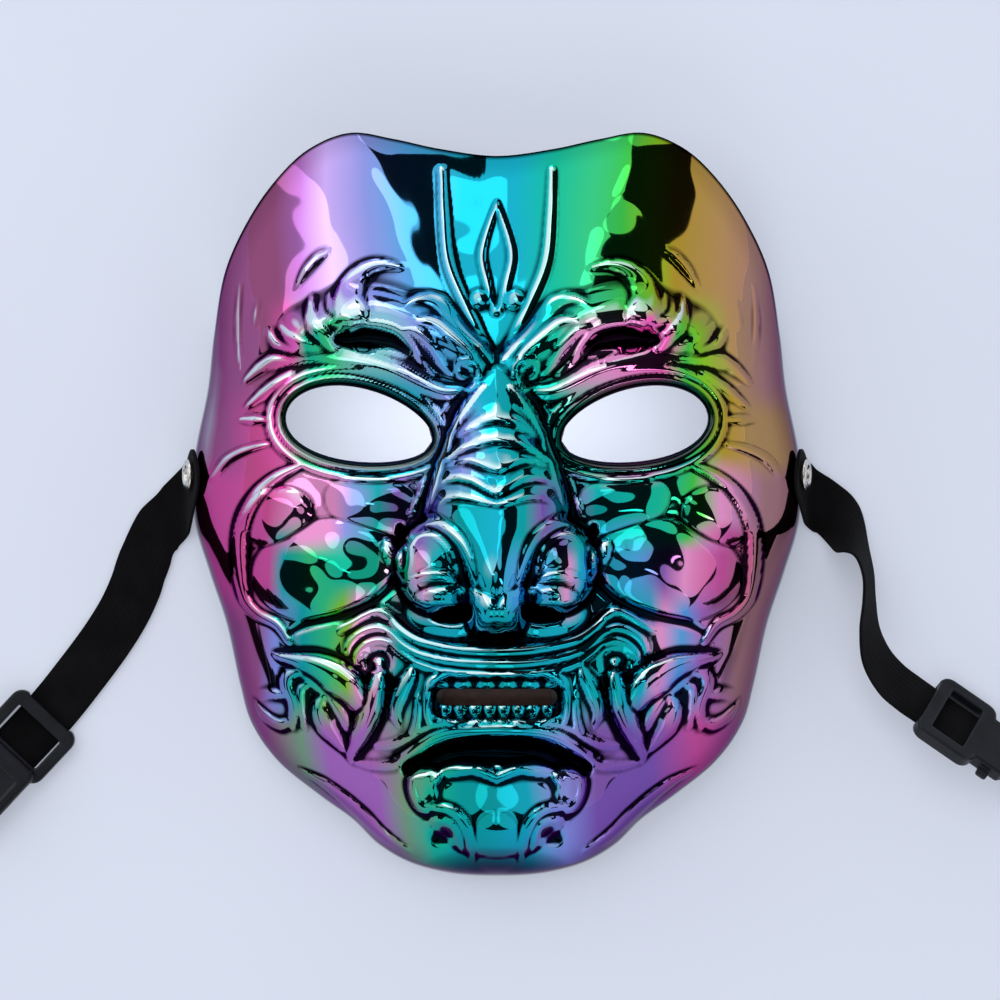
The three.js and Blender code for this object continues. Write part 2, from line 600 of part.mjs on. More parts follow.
// Closes up the edges that matter least to the shape, a share of them at a time,
// until only the wanted number of triangles is left
function thinned({ places, triangles }, wanted) {
  let faces = triangles;
  const quadrics = quadricsOf(places, faces);
  while (faces.length > wanted) {
    const edges = edgesOf(faces);
    const onBorder = new Set(edges.filter((edge) => edge.border).flatMap(({ from, to }) => [from, to]));
    for (const edge of edges) {
      const { from, to, border } = edge;
      const sum = quadrics[from].map((value, i) => value + quadrics[to][i]);
      const middle = new THREE.Vector3().addVectors(places[from], places[to]).multiplyScalar(0.5);
      let choices = [places[from], places[to], middle];
      if (!border && onBorder.has(from)) choices = [places[from]];
      if (!border && onBorder.has(to)) choices = onBorder.has(from) ? [] : [places[to]];
      const costs = choices.map((place) => quadricError(sum, place));
      edge.cost = Math.min(...costs);
      edge.place = choices[costs.indexOf(edge.cost)];
      edge.sum = sum;
    }
    edges.sort((a, b) => a.cost - b.cost);
    faces = closeEdges(places, faces, quadrics, edges, Math.max(wanted, Math.floor(faces.length * 0.8)));
  }
  return { places, triangles: faces };
}

// One round of closing edges, in the order given. A point that took part is left alone till the next round.
function closeEdges(places, faces, quadrics, edges, wanted) {
  const around = new Map();
  faces.forEach((face, i) => face.forEach((k) => {
    if (!around.has(k)) around.set(k, []);
    around.get(k).push(i);
  }));
  const touched = new Set();
  const gone = new Set();
  const neighbours = (k) => new Set(around.get(k).flatMap((i) => faces[i]));
  for (const { from, to, border, cost, place, sum } of edges) {
    if (faces.length - gone.size <= wanted || cost === Infinity) break;
    if (touched.has(from) || touched.has(to)) continue;
    const [nearFrom, nearTo] = [neighbours(from), neighbours(to)];
    const shared = [...nearFrom].filter((k) => nearTo.has(k) && k !== from && k !== to);
    if (shared.length !== (border ? 1 : 2)) continue;
    const closes = (i) => faces[i].includes(from) && faces[i].includes(to);
    const stays = [...around.get(from), ...around.get(to)].filter((i) => !closes(i));
    const turned = stays.some((i) => {
      const before = faceNormal(places, faces[i]);
      const corners = faces[i].map((k) => (k === from || k === to ? place : places[k]));
      const after = faceNormal(corners, [0, 1, 2]);
      return before.dot(after) < 0.3 * before.length() * after.length() || after.length() < 1e-3;
    });
    if (turned) continue;
    for (const i of around.get(to)) {
      if (faces[i].includes(from)) gone.add(i);
      else faces[i] = faces[i].map((k) => (k === to ? from : k));
    }
    places[from] = place;
    quadrics[from] = sum;
    for (const k of [...nearFrom, ...nearTo]) touched.add(k);
  }
  return faces.filter((_, i) => !gone.has(i));
}

// The right half and its mirror image, joined along x = 0
function mirrored({ places, triangles }) {
  const all = [...places];
  const twin = places.map((place, k) => {
    if (Math.abs(place.x) < 1e-9) return k;
    return all.push(new THREE.Vector3(-place.x, place.y, place.z)) - 1;
  });
  const left = triangles.map(([a, b, c]) => [twin[a], twin[c], twin[b]]);
  return { places: all, triangles: [...triangles, ...left] };
}

// Closes a face with an upright skirt down to a flat floor
function closeBelow({ places, triangles }, floor) {
  const points = [...places];
  const faces = [...triangles];
  const centre = points.push(new THREE.Vector3(0, 0, floor)) - 1;
  const feet = new Map();
  const footOf = (k) => {
    if (!feet.has(k)) feet.set(k, points.push(new THREE.Vector3(places[k].x, places[k].y, floor)) - 1);
    return feet.get(k);
  };
  for (const { from, to, border } of edgesOf(triangles)) {
    if (!border) continue;
    const [foot, next] = [footOf(from), footOf(to)];
    faces.push([from, foot, next], [from, next, to], [centre, next, foot]);
  }
  return solidOf(points, faces);
}

function solidOf(points, faces) {
  const used = new Map();
  const vertices = [];
  const triangles = faces.flat().map((k) => {
    if (!used.has(k)) {
      used.set(k, used.size);
      vertices.push(points[k].x, points[k].y, points[k].z);
    }
    return used.get(k);
  });
  const mesh = {
    numProp: 3,
    vertProperties: new Float32Array(vertices),
    triVerts: new Uint32Array(triangles),
  };
  return new wasm.Manifold(new wasm.Mesh(mesh));
}

function solidFromGeometry(geometry) {
  const bare = geometry.clone();
  bare.deleteAttribute('normal');
  bare.deleteAttribute('uv');
  const merged = mergeVertices(bare, 1e-4);
  const mesh = {
    numProp: 3,
    vertProperties: new Float32Array(merged.attributes.position.array),
    triVerts: new Uint32Array(merged.index.array),
  };
  return new wasm.Manifold(new wasm.Mesh(mesh));
}

function geometryFromSolid(solid) {
  const { vertProperties, triVerts } = solid.getMesh();
  const geometry = new THREE.BufferGeometry();
  geometry.setAttribute('position', new THREE.BufferAttribute(new Float32Array(vertProperties), 3));
  geometry.setIndex(new THREE.BufferAttribute(new Uint32Array(triVerts), 1));
  const faceted = geometry.toNonIndexed();
  faceted.computeVertexNormals();
  return faceted;
}

// A prism from a flat outline, between two heights
function prism(points, low, high) {
  const push = { depth: high - low, bevelEnabled: false };
  const geometry = new THREE.ExtrudeGeometry(new THREE.Shape(points), push);
  return solidFromGeometry(geometry.translate(0, 0, low));
}

function box(low, high) {
  const size = high.map((value, i) => value - low[i]);
  const geometry = new THREE.BoxGeometry(...size);
  return solidFromGeometry(geometry.translate(...low.map((value, i) => value + size[i] / 2)));
}

// Everything below the rim, which rises at the forehead: a profile in Y and Z pushed along X
function belowRim() {
  const reach = 130;
  const deep = -20;
  const steps = 12;
  const points = [new THREE.Vector2(-reach, deep), new THREE.Vector2(-reach, 0)];
  for (let i = 0; i <= steps; i += 1) {
    const y = lerp(RIM_LIFT_FROM, RIM_LIFT_TO, i / steps);
    points.push(new THREE.Vector2(y, rimHeight(y)));
  }
  points.push(new THREE.Vector2(reach, RIM_LIFT), new THREE.Vector2(reach, deep));
  const push = { depth: 2 * reach, bevelEnabled: false };
  const geometry = new THREE.ExtrudeGeometry(new THREE.Shape(points.reverse()), push);
  geometry.applyMatrix4(new THREE.Matrix4().makeBasis(
    new THREE.Vector3(0, 1, 0), new THREE.Vector3(0, 0, 1), new THREE.Vector3(1, 0, 0),
  ));
  return solidFromGeometry(geometry.translate(-reach, 0, 0));
}

function roundedSlot({ half, top, bottom }) {
  const radius = (top - bottom) / 2;
  const middle = (top + bottom) / 2;
  const points = [];
  const steps = 6;
  for (const side of [1, -1]) {
    for (let i = 0; i <= steps; i += 1) {
      const angle = Math.PI * (i / steps - 0.5);
      points.push(new THREE.Vector2(
        side * (half - radius + radius * Math.cos(angle)), middle + side * radius * Math.sin(angle),
      ));
    }
  }
  return points;
}

// Frame of a rivet: its place on the outer wall and its axis, pointing out of the wall
function rivetFrame(side) {
  const [y, z] = RIVET_AT;
  let [low, high] = [80, 98.4];
  for (let i = 0; i < 40; i += 1) {
    const x = (low + high) / 2;
    if (formHeight(x, y) > z) low = x;
    else high = x;
  }
  const slope = (formHeight(low + 0.2, y) - formHeight(low - 0.2, y)) / 0.4;
  const out = new THREE.Vector3(-slope * side, 0, 1).normalize();
  const up = new THREE.Vector3(0, 1, 0);
  const matrix = new THREE.Matrix4().makeBasis(up, new THREE.Vector3().crossVectors(out, up), out);
  return matrix.setPosition(side * low, y, z);
}

function lathe(profile, sides) {
  const points = profile.map(([radius, height]) => new THREE.Vector2(radius, height));
  return new THREE.LatheGeometry(points, sides).rotateX(Math.PI / 2);
}

const placed = (geometry, matrix) => solidFromGeometry(geometry.applyMatrix4(matrix));

// Depth of the flat seat for the rivet's inner head, under the outer wall
const RIVET_SEAT = -WALL - 0.2;

function rivetHole(side) {
  const long = 9;
  const wide = RIVET_HEAD + GAP;
  const profile = [
    [0, -long], [wide, -long], [wide, RIVET_SEAT], [RIVET_HOLE, RIVET_SEAT], [RIVET_HOLE, long], [0, long],
  ];
  return placed(lathe(profile, 14), rivetFrame(side));
}

// Eyelet rivet: a rolled outer head with a dished middle, a shank and a flat inner head
function rivet(side) {
  const inner = RIVET_SEAT - GAP;
  const seat = 2 * GAP + BAND_THICK + 0.5;
  const profile = [
    [0, inner - 0.9], [RIVET_HEAD - 0.8, inner - 0.9], [RIVET_HEAD - 0.4, inner], [RIVET_SHANK, inner],
    [RIVET_SHANK, seat], [RIVET_HEAD, seat], [RIVET_HEAD - 0.7, seat + 1.4], [RIVET_SHANK, seat + 0.5],
    [0, seat + 0.4],
  ];
  return placed(lathe(profile, 16), rivetFrame(side));
}

function cavity() {
  const half = thinned(evenFace(CAVITY_STEPS, 2 * CAVITY_STEPS, 0, cavityPoint), CAVITY_TRIANGLES);
  return closeBelow(mirrored(half), CAVITY_FLOOR - 2);
}

function maskShell(inside) {
  const half = thinned(evenFace(FACE_STEPS, 2 * FACE_STEPS, 0, outerPoint), FACE_TRIANGLES);
  let shell = closeBelow(mirrored(half), CAVITY_FLOOR).subtract(inside).subtract(belowRim());
  for (const side of [1, -1]) {
    const eye = eyeOutline.map((p) => new THREE.Vector2(side * p.x, p.y));
    shell = shell.subtract(prism(side < 0 ? eye.reverse() : eye, 5, 90)).subtract(rivetHole(side));
  }
  return shell.subtract(prism(roundedSlot(MOUTH_SLOT), 5, 90));
}

// Dark plate behind the mouth slot: a slice of the hollow, just under its ceiling
function mouthBacking(inside) {
  const { half, top, bottom } = BACKING;
  const slice = inside.translate([0, 0, -GAP]).subtract(inside.translate([0, 0, -GAP - BACKING.thick]));
  return slice.intersect(box([-half, bottom, 20], [half, top, 90]));
}

// The part of a band that lies on the side wall, leaning, and its fold to the floor
function wallStations(side, lean) {
  const frame = rivetFrame(side);
  const out = new THREE.Vector3().setFromMatrixColumn(frame, 2);
  const down = new THREE.Vector3(out.z * side, 0, -Math.abs(out.x));
  const forehead = new THREE.Vector3(0, 1, 0);
  const lay = GAP + BAND_THICK / 2;
  const middle = new THREE.Vector3().setFromMatrixPosition(frame).addScaledVector(out, lay);
  const onWall = (up, deep) => middle.clone().addScaledVector(forehead, up).addScaledVector(down, deep);
  const across = forehead.clone().multiplyScalar(Math.cos(lean)).addScaledVector(down, Math.sin(lean));
  const angle = Math.acos(out.z);
  const deep = (middle.z - lay - BAND_FOLD * (1 - out.z)) / Math.abs(down.z);
  const stations = [
    { at: onWall(BAND_TAIL * Math.sin(lean), -BAND_TAIL * Math.cos(lean)), across },
    { at: middle, across },
  ];
  for (const share of [0, 1 / 3, 2 / 3, 1]) {
    const left = angle * (1 - share);
    const at = onWall(-deep * Math.tan(lean), deep).add(new THREE.Vector3(
      side * BAND_FOLD * (Math.sin(angle) - Math.sin(left)),
      -BAND_FOLD * angle * share * Math.tan(lean),
      -BAND_FOLD * (Math.cos(left) - Math.cos(angle)),
    ));
    stations.push({ at, across: forehead });
  }
  return stations;
}

// A flat band through the wall stations and a smooth line on from the last of them
function band(side, { lean, floor }) {
  const wall = wallStations(side, degToRad(lean));
  const last = wall.pop();
  const line = (key) => new THREE.CatmullRomCurve3(
    [last[key], ...floor.map((station) => new THREE.Vector3(...station[key]))], false, 'catmullrom', 0.5,
  ).getPoints(2 * floor.length);
  const [centres, widths] = [line('at'), line('across')];
  const stations = [...wall, ...centres.map((at, i) => ({ at, across: widths[i] }))];
  const points = [];
  const faces = [];
  stations.forEach(({ at, across }, i) => {
    const before = stations[Math.max(i - 1, 0)].at;
    const after = stations[Math.min(i + 1, stations.length - 1)].at;
    const ahead = new THREE.Vector3().subVectors(after, before).normalize();
    const up = new THREE.Vector3().crossVectors(across, ahead).multiplyScalar(-side);
    const half = ((BAND_WIDE / 2) * across.length()) / up.length();
    const [wide, thick] = [across.clone().setLength(half), up.clone().setLength(BAND_THICK / 2)];
    for (const [a, b] of [[-1, -1], [1, -1], [1, 1], [-1, 1]]) {
      points.push(at.clone().addScaledVector(wide, a * side).addScaledVector(thick, b));
    }
  });
  const end = points.length - 4;
  for (let k = 0; k < end; k += 4) {
    for (let j = 0; j < 4; j += 1) {
      const [a, b] = [k + j, k + ((j + 1) % 4)];
      faces.push([a, b, b + 4], [a, b + 4, a + 4]);
    }
  }
  faces.push([0, 2, 1], [0, 3, 2], [end, end + 1, end + 2], [end, end + 2, end + 3]);
  return solidOf(points, faces).subtract(rivetHole(side));
}

function flatBox(fromA, toA, halfB, lowZ, highZ) {
  return box([fromA, -halfB, lowZ], [toA, halfB, highZ]);
}

function roundedPlate(fromA, toA, halfB, radius, lowZ, highZ) {
  const shape = new THREE.Shape();
  const middle = (fromA + toA) / 2;
  [[toA, -halfB], [toA, halfB], [fromA, halfB], [fromA, -halfB]].forEach(([a, b], i) => {
    const start = ((i - 1) * Math.PI) / 2;
    const centre = [a + Math.sign(middle - a) * radius, b - Math.sign(b) * radius];
    shape.absarc(...centre, radius, start, start + Math.PI / 2, false);
  });
  const push = { depth: highZ - lowZ, bevelEnabled: false, curveSegments: 3 };
  const geometry = new THREE.ExtrudeGeometry(shape, push);
  return solidFromGeometry(geometry.translate(0, 0, lowZ));
}

// Frame that the band runs through: two cross bars over it and a window between them
function bandFrame() {
  const { halfWide, long, high, barNear, barFar, round } = FRAME;
  const channel = BAND_WIDE / 2 + 2 * GAP;
  const under = 2 * GAP + BAND_THICK;
  return roundedPlate(0, long, halfWide, round, 0, high)
    .subtract(flatBox(-1, long + 1, channel, -1, under))
    .subtract(flatBox(barNear, long - barFar, channel, -1, high + 1));
}

// Socket half: the frame and an open-ended housing with a release window in each side
function socketBuckle() {
  const { long } = FRAME;
  const { long: reach, halfWide, high, wall, round, windowFrom, windowTo } = HOUSING;
  const under = 2 * GAP + BAND_THICK;
  return bandFrame()
    .add(roundedPlate(long - 4, long + reach, halfWide, round, 0, high))
    .subtract(flatBox(long - 5, long, BAND_WIDE / 2 + 2 * GAP, -1, under))
    .subtract(flatBox(long + wall, long + reach + 1, halfWide - wall, wall, high - wall))
    .subtract(flatBox(long + windowFrom, long + windowTo, halfWide + 1, wall, high - wall));
}

// Plug half: the frame, a body with a tab, a middle guide and two sprung arms with hooks
function plugBuckle() {
  const { long, high: frameHigh } = FRAME;
  const { low, high, body, halfWide, guide, arm, hook } = PLUG;
  const arms = [1, -1].map((side) => {
    const points = [
      [body - 1, 5.6], [arm - 3, 5], [arm, 6.4], [arm - 1, hook], [arm - 6, hook], [arm - 6.5, 7.6],
      [body - 1, 8.2],
    ].map(([a, b]) => new THREE.Vector2(long + a, side * b));
    return prism(side > 0 ? points : points.reverse(), low, high);
  });
  return bandFrame()
    .add(roundedPlate(long - 2, long + body, halfWide, 1.5, 0, frameHigh)
      .subtract(flatBox(long - 3, long, halfWide, -1, 2 * GAP + BAND_THICK)))
    .add(flatBox(long + TAB.from, long + TAB.to, TAB.halfWide, low, low + 2))
    .add(flatBox(long + body - 1, long + guide, 1.3, low, high))
    .add(arms[0])
    .add(arms[1]);
}

// Puts a buckle half on the floor, heading along its band and rolled about that line
function onFloor(solid, { at, heading, roll }) {
  const turned = new THREE.Matrix4().makeRotationZ(degToRad(heading))
    .multiply(new THREE.Matrix4().makeRotationX(degToRad(-roll)));
  const rolled = solid.transform(turned.toArray());
  return rolled.translate([at[0], at[1], -rolled.boundingBox().min[2]]);
}

function paint(color, roughness, metalness) {
  return new THREE.MeshStandardMaterial({ color, roughness, metalness });
}

const platedPlastic = paint(0x2fb4c4, 0.12, 0.9);
const darkPlastic = paint(0x231a18, 0.8, 0);
const blackPlastic = paint(0x101114, 0.45, 0);
const elastic = paint(0x0b0b0c, 0.9, 0);
const steel = paint(0xc8c8cc, 0.2, 1);

const mask = new THREE.Group();

function addPiece(name, solid, material) {
  const mesh = new THREE.Mesh(geometryFromSolid(solid), material);
  mesh.name = name;
  mask.add(mesh);
}

const inside = cavity();
addPiece('mask_shell', maskShell(inside), platedPlastic);
addPiece('mouth_backing', mouthBacking(inside), darkPlastic);
addPiece('rivet_left', rivet(-1), steel);
addPiece('rivet_right', rivet(1), steel);
addPiece('strap_left', band(-1, BAND_LEFT), elastic);
addPiece('strap_right', band(1, BAND_RIGHT), elastic);
addPiece('buckle_left', onFloor(socketBuckle(), BUCKLE_LEFT), blackPlastic);
addPiece('buckle_right', onFloor(plugBuckle(), BUCKLE_RIGHT), blackPlastic);

export default mask;
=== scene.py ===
# %% [markdown]
# # Warrior face mask
# A full-face mask of mirror-plated plastic lies face up on its rim, with the two halves of its
# elastic band on the floor beside it. The CAD model gives the sizes and the main forms. This
# script builds the face again with its fine relief, and gives each piece its finish.
#
# The face is a height over the floor. Everything on it that is the same left and right is given
# for the right half, in millimetres.

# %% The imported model
import math

import bpy
import numpy as np
from mathutils import Matrix, Vector


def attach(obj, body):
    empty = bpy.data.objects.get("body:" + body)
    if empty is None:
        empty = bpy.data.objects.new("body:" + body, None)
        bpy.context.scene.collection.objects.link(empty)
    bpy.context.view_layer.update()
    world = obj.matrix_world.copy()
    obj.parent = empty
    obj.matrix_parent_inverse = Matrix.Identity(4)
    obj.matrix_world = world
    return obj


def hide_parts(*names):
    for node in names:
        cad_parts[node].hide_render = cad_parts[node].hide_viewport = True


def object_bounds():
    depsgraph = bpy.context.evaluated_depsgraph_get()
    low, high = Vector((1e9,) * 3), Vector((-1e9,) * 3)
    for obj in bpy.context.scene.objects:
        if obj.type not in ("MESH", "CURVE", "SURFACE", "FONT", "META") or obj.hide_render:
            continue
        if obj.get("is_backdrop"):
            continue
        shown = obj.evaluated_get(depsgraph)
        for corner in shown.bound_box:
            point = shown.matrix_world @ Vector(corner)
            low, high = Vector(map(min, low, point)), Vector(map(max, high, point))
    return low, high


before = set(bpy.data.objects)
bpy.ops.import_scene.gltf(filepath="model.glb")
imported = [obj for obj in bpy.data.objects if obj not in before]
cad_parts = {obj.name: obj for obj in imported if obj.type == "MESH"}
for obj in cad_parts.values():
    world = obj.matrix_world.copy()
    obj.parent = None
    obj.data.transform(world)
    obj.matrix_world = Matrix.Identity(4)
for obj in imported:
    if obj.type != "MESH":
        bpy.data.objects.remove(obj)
cad_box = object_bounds()
MM = 0.001
print("nodes", len(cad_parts), "in a box", [tuple(round(v, 4) for v in corner) for corner in cad_box])

# %% [markdown]
# ## Sizes
# The real mask is a thin moulded shell, so most of its sizes are an outline, a wall and the
# curves of its openings. They could be read off the CAD solids, but written out they can be
# read and changed here. The outline, the openings, the band and the rivets have the sizes that
# the solids have.

# %% Shell, band and rivets
WALL = 2.4
GAP = 0.3
CROWN = 57.0
RIM_BAND = 1.2
RIM_LIFT, RIM_LIFT_FROM, RIM_LIFT_TO = 28.0, 45.0, 118.0
BAND_WIDE, BAND_THICK = 17.0, 1.4
RIVET_Y, RIVET_Z = 10.5, 9.0
OUTLINE = [(0, 112.6), (18, 114.8), (33, 118), (47, 120), (60, 115), (70.5, 105.5), (80, 92.5), (88, 76),
           (92, 56), (94.2, 38), (98.4, 16), (98.4, -4), (93.6, -21), (88, -38), (83.8, -57),
           (79.8, -70.5), (71, -83), (57.5, -94), (47, -101.6), (38.5, -109.8), (28, -115.8),
           (14.5, -119.2), (0, -120)]
print("half outline", len(OUTLINE), "places, wall", WALL, "mm")

# %% Eyes, mouth and teeth
EYE = dict(at=[43.8, 26.1], turn=10.6, long=23.8, high=11.7, pear=0.13, bow=-0.76)
MOUTH_SLOT = dict(half=19.2, top=-57.4, bottom=-62.8)
MOUTH_FIELD = dict(half=20.6, top=-53.6, bottom=-67.4, deep=4.4)
TEETH = [dict(pitch=7.2, count=3, y=-55.4, half=[3.2, 2.2], high=1.8),
         dict(pitch=4.6, count=4, y=-65, half=[2.1, 2.6], high=1.8)]
print("teeth", 2 * sum(row["count"] for row in TEETH))

# %% [markdown]
# ## Big forms
# Nose, cheeks, muzzle and chin are rounded masses that flow into one another. Sculpting them
# freely would be quick, but it can't be repeated exactly. Here each is a swell: an oval place
# with a height, where edge says how steeply it rises. Folds are the same along a line, and the
# bridge of the nose has its own table from brow to tip.

# %% Bridge, swells and folds
BRIDGE_Y = [50, 44, 30, 15, 2, -6, -14, -22, -29, -35, -39, -42]
BRIDGE_RISE = [0, 3, 9, 15, 20, 22.6, 25, 26.5, 25, 20, 11, 0]
BRIDGE_HALF = [5, 7, 13.6, 19.4, 23, 23.4, 18.4, 13.6, 11.2, 10, 8.6, 5.6]
SWELLS = {
    "nose_wing": dict(at=[18.6, -18.6], size=[13.6, 15.4], turn=0, high=18, edge=0.45),
    "nose_base": dict(at=[14, -33], size=[15, 9], turn=0, high=5.5, edge=0.7),
    "socket": dict(at=[43, 26], size=[33, 20], turn=8, high=-6, edge=1.5),
    "cheek_apple": dict(at=[54, -20], size=[25, 16.5], turn=-8, high=6.6, edge=0.85),
    "cheek_lobe": dict(at=[70, -3.2], size=[11.8, 9.8], turn=-20, high=4, edge=0.75),
    "cheek_top": dict(at=[39, 0.8], size=[16, 9.4], turn=12, high=2.8, edge=0.8),
    "muzzle": dict(at=[0, -58], size=[52, 30], turn=0, high=9, edge=1.3),
    "nostril": dict(at=[15.4, -33.6], size=[7, 3.2], turn=6, high=-4, edge=1),
    "corner_pit": dict(at=[37.6, -48.8], size=[5, 4], turn=0, high=-2.4, edge=1),
    "corner_bead": dict(at=[37.6, -49], size=[2.2, 1.8], turn=0, high=2.4, edge=0.7),
    "eyelet": dict(at=[33.2, -14.6], size=[2.8, 5], turn=-18, high=2.2, edge=0.6),
    "forehead_bead": dict(at=[5.4, 66], size=[3.6, 3.4], turn=0, high=1.1, edge=0.6),
    "chin_boss": dict(at=[0, -96.6], size=[22.4, 16], turn=0, high=6.5, edge=0.62),
    "chin_lobe": dict(at=[22.8, -89.6], size=[6, 8.8], turn=0, high=4.4, edge=0.6),
    "chin_bowl": dict(at=[17.6, -105.6], size=[4.8, 3.4], turn=-35, high=-2.4, edge=0.8),
    "chin_keel": dict(at=[0, -108], size=[8, 11], turn=0, high=2.6, edge=0.8),
}


def roll(high, *stations, **shape):
    """A long form: how high it is, then x, y and half width at each place along it."""
    path = [(x, y) for x, y, _ in stations]
    return dict(path=path, wide=[half for *_, half in stations], high=high, **shape)


FOLDS = {
    "brow": roll(6.5, (8, 48, 8), (25, 57, 11), (42, 61, 12.5), (62, 56, 9)),
    "brow_hollow": roll(-3.8, (50.4, 53.2, 2.2), (42, 54.2, 4.6), (34, 53, 4), (28.6, 50, 1.8)),
    "lip_hollow": roll(-5, (0, -76.8, 5.6), (14, -78, 5.4), (28, -83.5, 3)),
    "cheek_crease": roll(-2, (30.4, -6, 1.2), (29.4, -17, 2), (33.4, -25, 2.2), (41, -31, 2.2),
        (50, -34.4, 2.2), (60, -37, 2), (66, -40, 1)),
}
print("swells", len(SWELLS), "folds", len(FOLDS))

# %% [markdown]
# ## Carving
# Locks, ridges, lips, tusks and leaves all run along a line and are round across it, so each is
# a roll. An extruded curve could make one, but fifty of them would have to be melted into the
# face. As heights they melt by themselves: the highest one counts at each place.
#
# edge says how blunt a roll is. A roll that leans is steep on one side and runs out softly on
# the other.

# %% Forehead, brows and temples
BROW_ROLLS = {
    "forehead_ridge": roll(1.5, (17.6, 108, 1.3), (17, 93, 1.7), (15.4, 78, 1.9), (9.8, 64, 1.8),
        (1.8, 48, 1.4)),
    "forehead_flame": roll(1.2, (0, 97, 0.8), (4.6, 82, 1.4), (3.2, 72, 1.4), (0.6, 62, 1.1)),
    "crown_swirl": roll(0.12, (44, 84, 0.8), (49, 89, 1.8), (47, 95, 2), (41, 97, 1.6), (36, 93, 0.6)),
    "brow_wave": roll(4.4, (30.2, 76.4, 0.5), (36.6, 77.6, 1.6), (42.2, 76.2, 2.6), (46.4, 72.4, 3.8),
        (48.8, 66.8, 5), (48, 61, 5.6), edge=0.55, lean=-0.3),
    "brow_wave_edge": roll(2, (53.6, 68, 0.6), (52.6, 63.2, 1.2), (49, 60, 1.5), (43, 58.4, 1.6),
        (36, 57.8, 1.6), (31, 55.8, 1.5), (27.6, 51.6, 1.3), (24, 46.8, 1.1), (19.6, 42, 0.8)),
    "brow_lock_1": roll(3.6, (59.6, 67, 0.4), (59.6, 61.4, 2.2), (57.6, 56.6, 3), (53, 51, 2.6), edge=0.6,
        lean=-0.3),
    "brow_lock_2": roll(1.7, (56.4, 65, 0.3), (55.6, 61.4, 1), (52.6, 59, 1.4), (48.6, 57.6, 0.8)),
    "brow_lock_3": roll(2.8, (69.4, 58.4, 0.4), (66.6, 54, 1.9), (61, 51, 2), (54.6, 49.8, 1.4), edge=0.6,
        lean=-0.3),
    "brow_lock_4": roll(2.6, (73.4, 56.4, 0.5), (70.6, 52, 1.9), (65, 49.6, 2.1), (57, 48.4, 1.3),
        edge=0.6, lean=-0.3),
    "brow_crescent": roll(1.8, (64.4, 70.3, 0.3), (61.3, 76, 1.6), (57.6, 80, 1.6), (53.4, 82, 0.3),
        lean=0.4),
    "temple_lock_1": roll(2.5, (81, 40.6, 1), (76.5, 45, 2.2), (71, 48, 2.2), (64.5, 47.2, 1.4),
        lean=0.4),
    "temple_lock_2": roll(2.5, (80, 32.6, 1), (75.2, 36.8, 2.1), (70.5, 40.2, 2.1), (66, 43, 1.4),
        lean=0.4),
    "temple_lock_3": roll(1.8, (82.5, 28.2, 0.6), (78, 28, 1.7), (73, 28, 1)),
    "brow_band": roll(2.6, (73, 44.6, 0.8), (66, 47, 2), (57, 48.2, 2.9), (48, 47.4, 3.3),
        (40, 45.8, 3.5), (32, 42.8, 3.5), (25, 39.2, 3.3), (19, 36.8, 2.9), (13, 36.6, 2), (8, 38.6, 1.3),
        (5.6, 42.6, 0.8), edge=0.6),
    "inner_lock_1": roll(2.4, (28.6, 64.6, 0.4), (24.4, 66.6, 1.9), (19, 65.4, 2.6), (14.6, 60.8, 2.6),
        (10, 55.8, 2.3), (5, 51, 1.9), (1.8, 46.5, 1), edge=0.65),
    "inner_lock_2": roll(2.2, (25.6, 59.4, 0.4), (19.6, 59.2, 1.9), (14.4, 55.4, 2.3), (9.8, 50.6, 2),
        (6, 45.4, 0.7), edge=0.65),
    "inner_lock_3": roll(2.2, (32.4, 56.4, 0.4), (26.2, 56, 1.5), (21.6, 51.4, 2), (18, 46, 1.8),
        (14, 41.8, 0.7), edge=0.65),
    "inner_lock_4": roll(1.5, (27.6, 51.6, 0.4), (24.6, 46.8, 1.2), (20, 42, 0.6)),
    "temple_wrinkle": roll(1.8, (73.3, 20.1, 0.8), (81, 18.2, 1.6), (87, 15, 1.7), (91.4, 9.5, 1)),
    "side_slit": roll(1.4, (82.8, 73, 0.3), (83.6, 60, 0.9), (82.6, 44, 0.3)),
    "side_leaf": roll(0.8, (76.8, 67, 0.2), (77.6, 62, 0.9), (78, 57.6, 0.2)),
}
print("rolls on the forehead and the brows", len(BROW_ROLLS))

